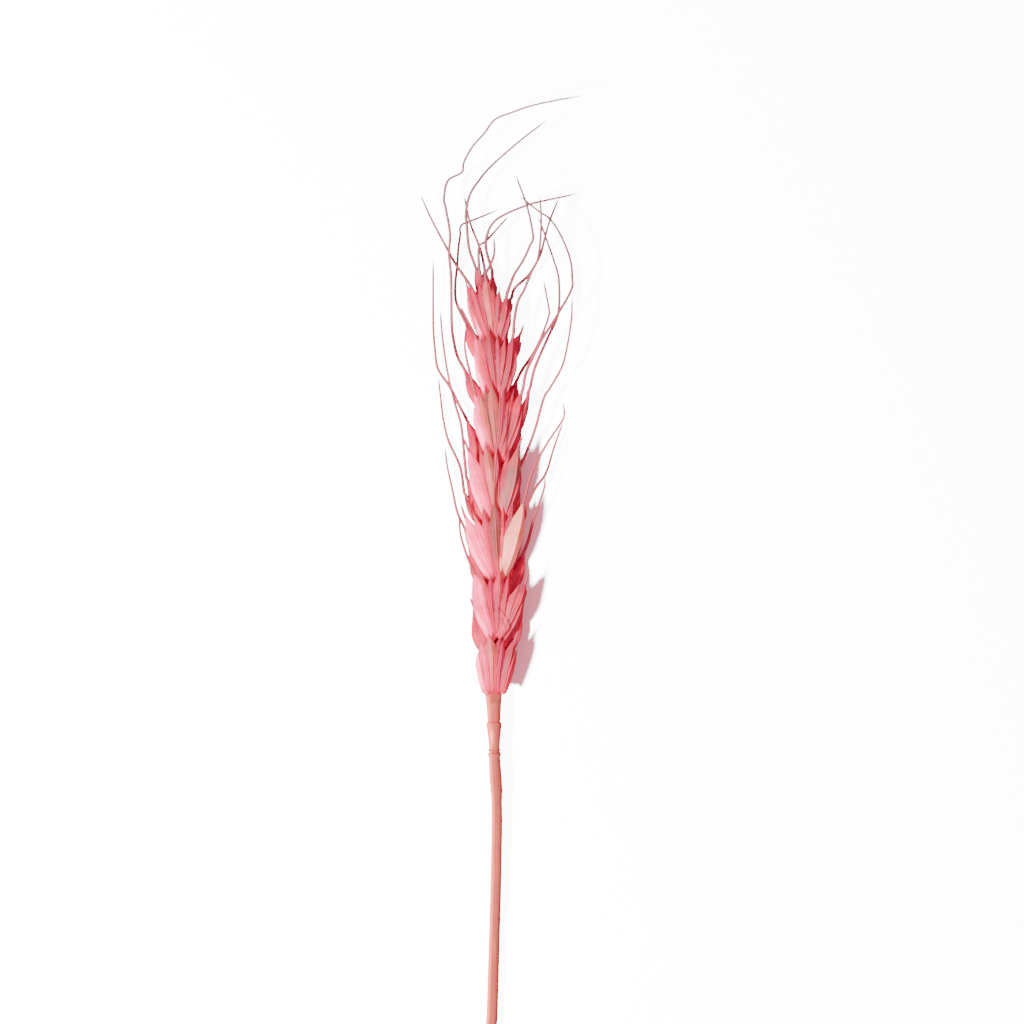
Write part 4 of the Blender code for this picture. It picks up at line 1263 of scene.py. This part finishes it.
@dataclass
class Straw:
    """The straw, from the collar under the ear to its plain cut end, hollow where it is cut."""

    frame: RowFrame
    axis: Axis
    skin: bpy.types.Material
    pith: bpy.types.Material
    sides: int = 120
    ribs: float = 20.0
    rib_height: float = 0.02
    bore: float = 0.7
    radius: tuple[tuple[float, float], ...] = (
        (-81.0, 1.12), (-65.0, 1.12), (-45.0, 1.08), (-30.0, 1.08), (-21.5, 1.06), (-19.9, 1.12),
        (-19.4, 1.24), (-18.8, 1.2), (-16.5, 1.22), (-13.4, 1.14), (-12.6, 1.12), (-12.2, 1.3), (-11.75, 1.3),
        (-11.6, 1.05), (-11.2, 0.95))

    def build(self) -> list[bpy.types.Object]:
        """Make the straw.

        Returns:
            The ribbed skin, and the pale cut face with its hollow.
        """
        cut = self.axis.straw_cut_y
        y = np.unique(np.concatenate([[row[0] for row in self.radius], np.linspace(cut, -11.2, 150)]))
        points = np.array([self.axis.point(v) for v in y])
        skin = StrawSweep().run("straw_skin", [(self.frame.place(points), read_table(self.radius, y) * MM)], {
            "Sides": self.sides, "Ribs": self.ribs, "Rib Height": self.rib_height, "Material": self.skin})
        # Painted light on the straw's left side and painted shade on its right
        spots = np.array([vert.co for vert in skin.data.vertices]) / MM - self.frame.shift / MM
        across = (spots[:, 0] - read_table(CENTRELINE, spots[:, 1])) / read_table(self.radius, spots[:, 1])
        for label, values in zip(("pale", "shade"), painted_side_light_and_shade(across)):
            mark = skin.data.attributes.new(label, "FLOAT", "POINT")
            mark.data.foreach_set("value", values.astype(np.float32))
        return [skin, self.cut_face(points[0], unit(points[1] - points[0]))]

    def cut_face(self, centre: Array, along: Array) -> bpy.types.Object:
        """Make the pale cut face: a thin ring round a shallow hollow.

        Args:
            centre: the middle of the cut end.
            along: the way from it into the straw.

        Returns:
            The piece, at the origin.
        """
        side = unit(np.cross(along, [0.0, 0.0, 1.0]))
        back = np.cross(side, along)
        angle = np.linspace(0, 2 * math.pi, 64, endpoint=False)[:, None]
        steps = ((0.3, 1.0), (-0.02, 1.0), (-0.05, 0.96), (-0.05, self.bore + 0.05), (0.0, self.bore),
                 (0.2, self.bore - 0.02), (0.25, 0.02))
        rings = [centre + along * depth + (side * np.cos(angle) - back * np.sin(angle)) * radius
                 for depth, radius in steps]
        surface = Surface()
        surface.tube(np.array(rings), {})
        item = surface.build("straw_cut_face", self.frame)
        item.data.materials.append(self.pith)
        return item


@dataclass(frozen=True)
class Lamp:
    """One square area lamp, in metres, watts and linear colour, aimed at the ear."""

    name: str
    size: float
    power: float
    colour: tuple[float, float, float]
    place: tuple[float, float, float]

    def make(self) -> bpy.types.Object:
        """Make the lamp.

        Returns:
            Its object.
        """
        lamp = bpy.data.lights.new(self.name, "AREA")
        lamp.size, lamp.energy, lamp.color = self.size, self.power, self.colour
        item = bpy.data.objects.new(self.name, lamp)
        item.location = self.place
        item.rotation_euler = (-Vector(self.place)).to_track_quat("-Z", "Y").to_euler()
        bpy.context.scene.collection.objects.link(item)
        return item


@dataclass
class Studio:
    """A white sheet, two lamps in one place at the lower left, soft rosy light and a camera straight above.

    One of the two lamps lights everything. The other brightens the sheet alone, and a wide rosy lamp
    lights the chaff and the awns alone.
    """

    frame: RowFrame
    seen_width: float = 204.8
    seen_centre: tuple[float, float] = (3.0, 36.6)
    lens: float = 150.0
    sensor: float = 36.0
    focus_height: float = 6.0
    key_from: tuple[float, float, float] = (-0.456, -0.181, 0.755)
    fill_from: tuple[float, float, float] = (0.15, 0.0, 0.9)
    world_colour: tuple[float, float, float] = (1.0, 0.3, 0.39)
    world_strength: float = 1.5

    def build(self, shading: list[bpy.types.Object]) -> None:
        """Make the sheet, the lights and the camera.

        Args:
            shading: the pieces whose full shadow the sheet shows, as only the lower ear's does in the photo.
        """
        ear = [item for item in bpy.context.scene.objects if item.name.startswith(("chaff", "awns"))]
        sheet = self.sheet()
        Lamp("key", 0.09, 46.0, (0.97, 1.0, 0.99), self.key_from).make()
        bright = Lamp("key_on_sheet", 0.09, 104.0, (0.96, 1.0, 0.99), self.key_from).make()
        fill = Lamp("fill", 0.35, 13.0, (1.0, 0.42, 0.48), self.fill_from).make()
        fill.light_linking.receiver_collection = self.group("filled", ear)
        bright.light_linking.receiver_collection = self.group("lit_sheet", [sheet])
        bright.light_linking.blocker_collection = self.group("shading_sheet", shading)
        world = bpy.data.worlds.new("studio")
        world.use_nodes = True
        world.node_tree.nodes["Background"].inputs["Color"].default_value = (*self.world_colour, 1.0)
        world.node_tree.nodes["Background"].inputs["Strength"].default_value = self.world_strength
        bpy.context.scene.world = world
        self.camera()

    def sheet(self) -> bpy.types.Object:
        """Make a wide white sheet under the ear. It sends no light back, which would grey the scales' sides.

        Returns:
            The sheet.
        """
        bpy.ops.mesh.primitive_plane_add(size=4.0, location=(0.0, 0.0, -0.00002))
        sheet = bpy.context.object
        sheet.name = "white_sheet"
        sheet.visible_diffuse = sheet.visible_glossy = False
        sheet.data.materials.append(Plain("matt_white_paper", "FFFFFF").make())
        return sheet

    def group(self, name: str, items: list[bpy.types.Object]) -> bpy.types.Collection:
        """Gather objects that a lamp is linked to.

        Args:
            name: the collection's name.
            items: the objects.

        Returns:
            The collection.
        """
        group = bpy.data.collections.new(name)
        for item in items:
            group.objects.link(item)
        return group

    def camera(self) -> None:
        """Set up a long lens straight above, as in the photo."""
        lens = bpy.data.cameras.new("camera")
        lens.lens, lens.sensor_width = self.lens, self.sensor
        item = bpy.data.objects.new("camera", lens)
        centre = self.frame.place(np.array([*self.seen_centre, self.focus_height]))
        distance = self.seen_width * MM * self.lens / self.sensor
        item.location = (centre[0], centre[1], centre[2] + distance)
        bpy.context.scene.collection.objects.link(item)
        bpy.context.scene.camera = item


def hand_over(item: bpy.types.Object | None, node: str) -> None:
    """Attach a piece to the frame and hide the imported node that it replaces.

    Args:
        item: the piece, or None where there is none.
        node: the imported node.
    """
    if item is None:
        return
    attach(item, "root")
    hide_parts(node)
    LOG.info("%s: %d faces in place of %s", item.name, len(item.data.polygons), node)


def row_frame(axis: Axis) -> RowFrame:
    """Find the ear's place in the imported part's frame from its rachis.

    Args:
        axis: the line of the straw and the ear.

    Returns:
        The shift from the ear's own millimetres.
    """
    low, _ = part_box("rachis")
    left = min(read_table(CENTRELINE, y) - half for y, half in Rachis.half_width)
    return RowFrame(np.array([low.x - left * MM, low.y - axis.collar_y * MM, 0.0]))


def main() -> None:
    """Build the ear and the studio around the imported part."""
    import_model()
    axis = Axis()
    frame = row_frame(axis)
    planner = Planner(axis)
    chaff = Chaff(frame)
    front = DyedChaff("dyed_chaff_front", 0.0).make()
    # The back row's copy starts its painted shade in the recesses sooner
    back = DyedChaff("dyed_chaff_back", 0.12).make()
    awns = Awns(frame, DryAwn().make())
    pieces: list[bpy.types.Object] = []
    for plan in SPIKELETS:
        husks = planner.spikelet(plan)
        slot, finish = ("chaff_front", front) if plan.row is Row.FRONT else ("chaff_back", back)
        pieces.append(chaff.build(f"chaff_{plan.name}", husks, finish))
        hand_over(pieces[-1], f"spikelet_{plan.name}")
        hand_over(awns.build(plan.name, husks), f"spikelet_{plan.name}")
    husks = planner.terminal()
    pieces.append(chaff.build("chaff_terminal", husks, front))
    hand_over(pieces[-1], "spikelet_terminal")
    hand_over(awns.build("terminal", husks), "spikelet_terminal")
    pieces.append(Rachis(frame, axis, DyedStraw("dyed_rachis").make()).build())
    hand_over(pieces[-1], "rachis")
    # Openness for the painted shade in the recesses between the scales
    Recesses().mark(pieces)
    straw = Straw(frame, axis, DyedStraw("dyed_straw").make(), Plain("straw_pith", "E8A890").make())
    for item in straw.build():
        hand_over(item, "straw")
    lower = [piece for piece, plan in zip(pieces, SPIKELETS) if plan.foot_y < SHADE_BELOW]
    Studio(frame).build(lower)


if __name__ == "__main__":
    main()
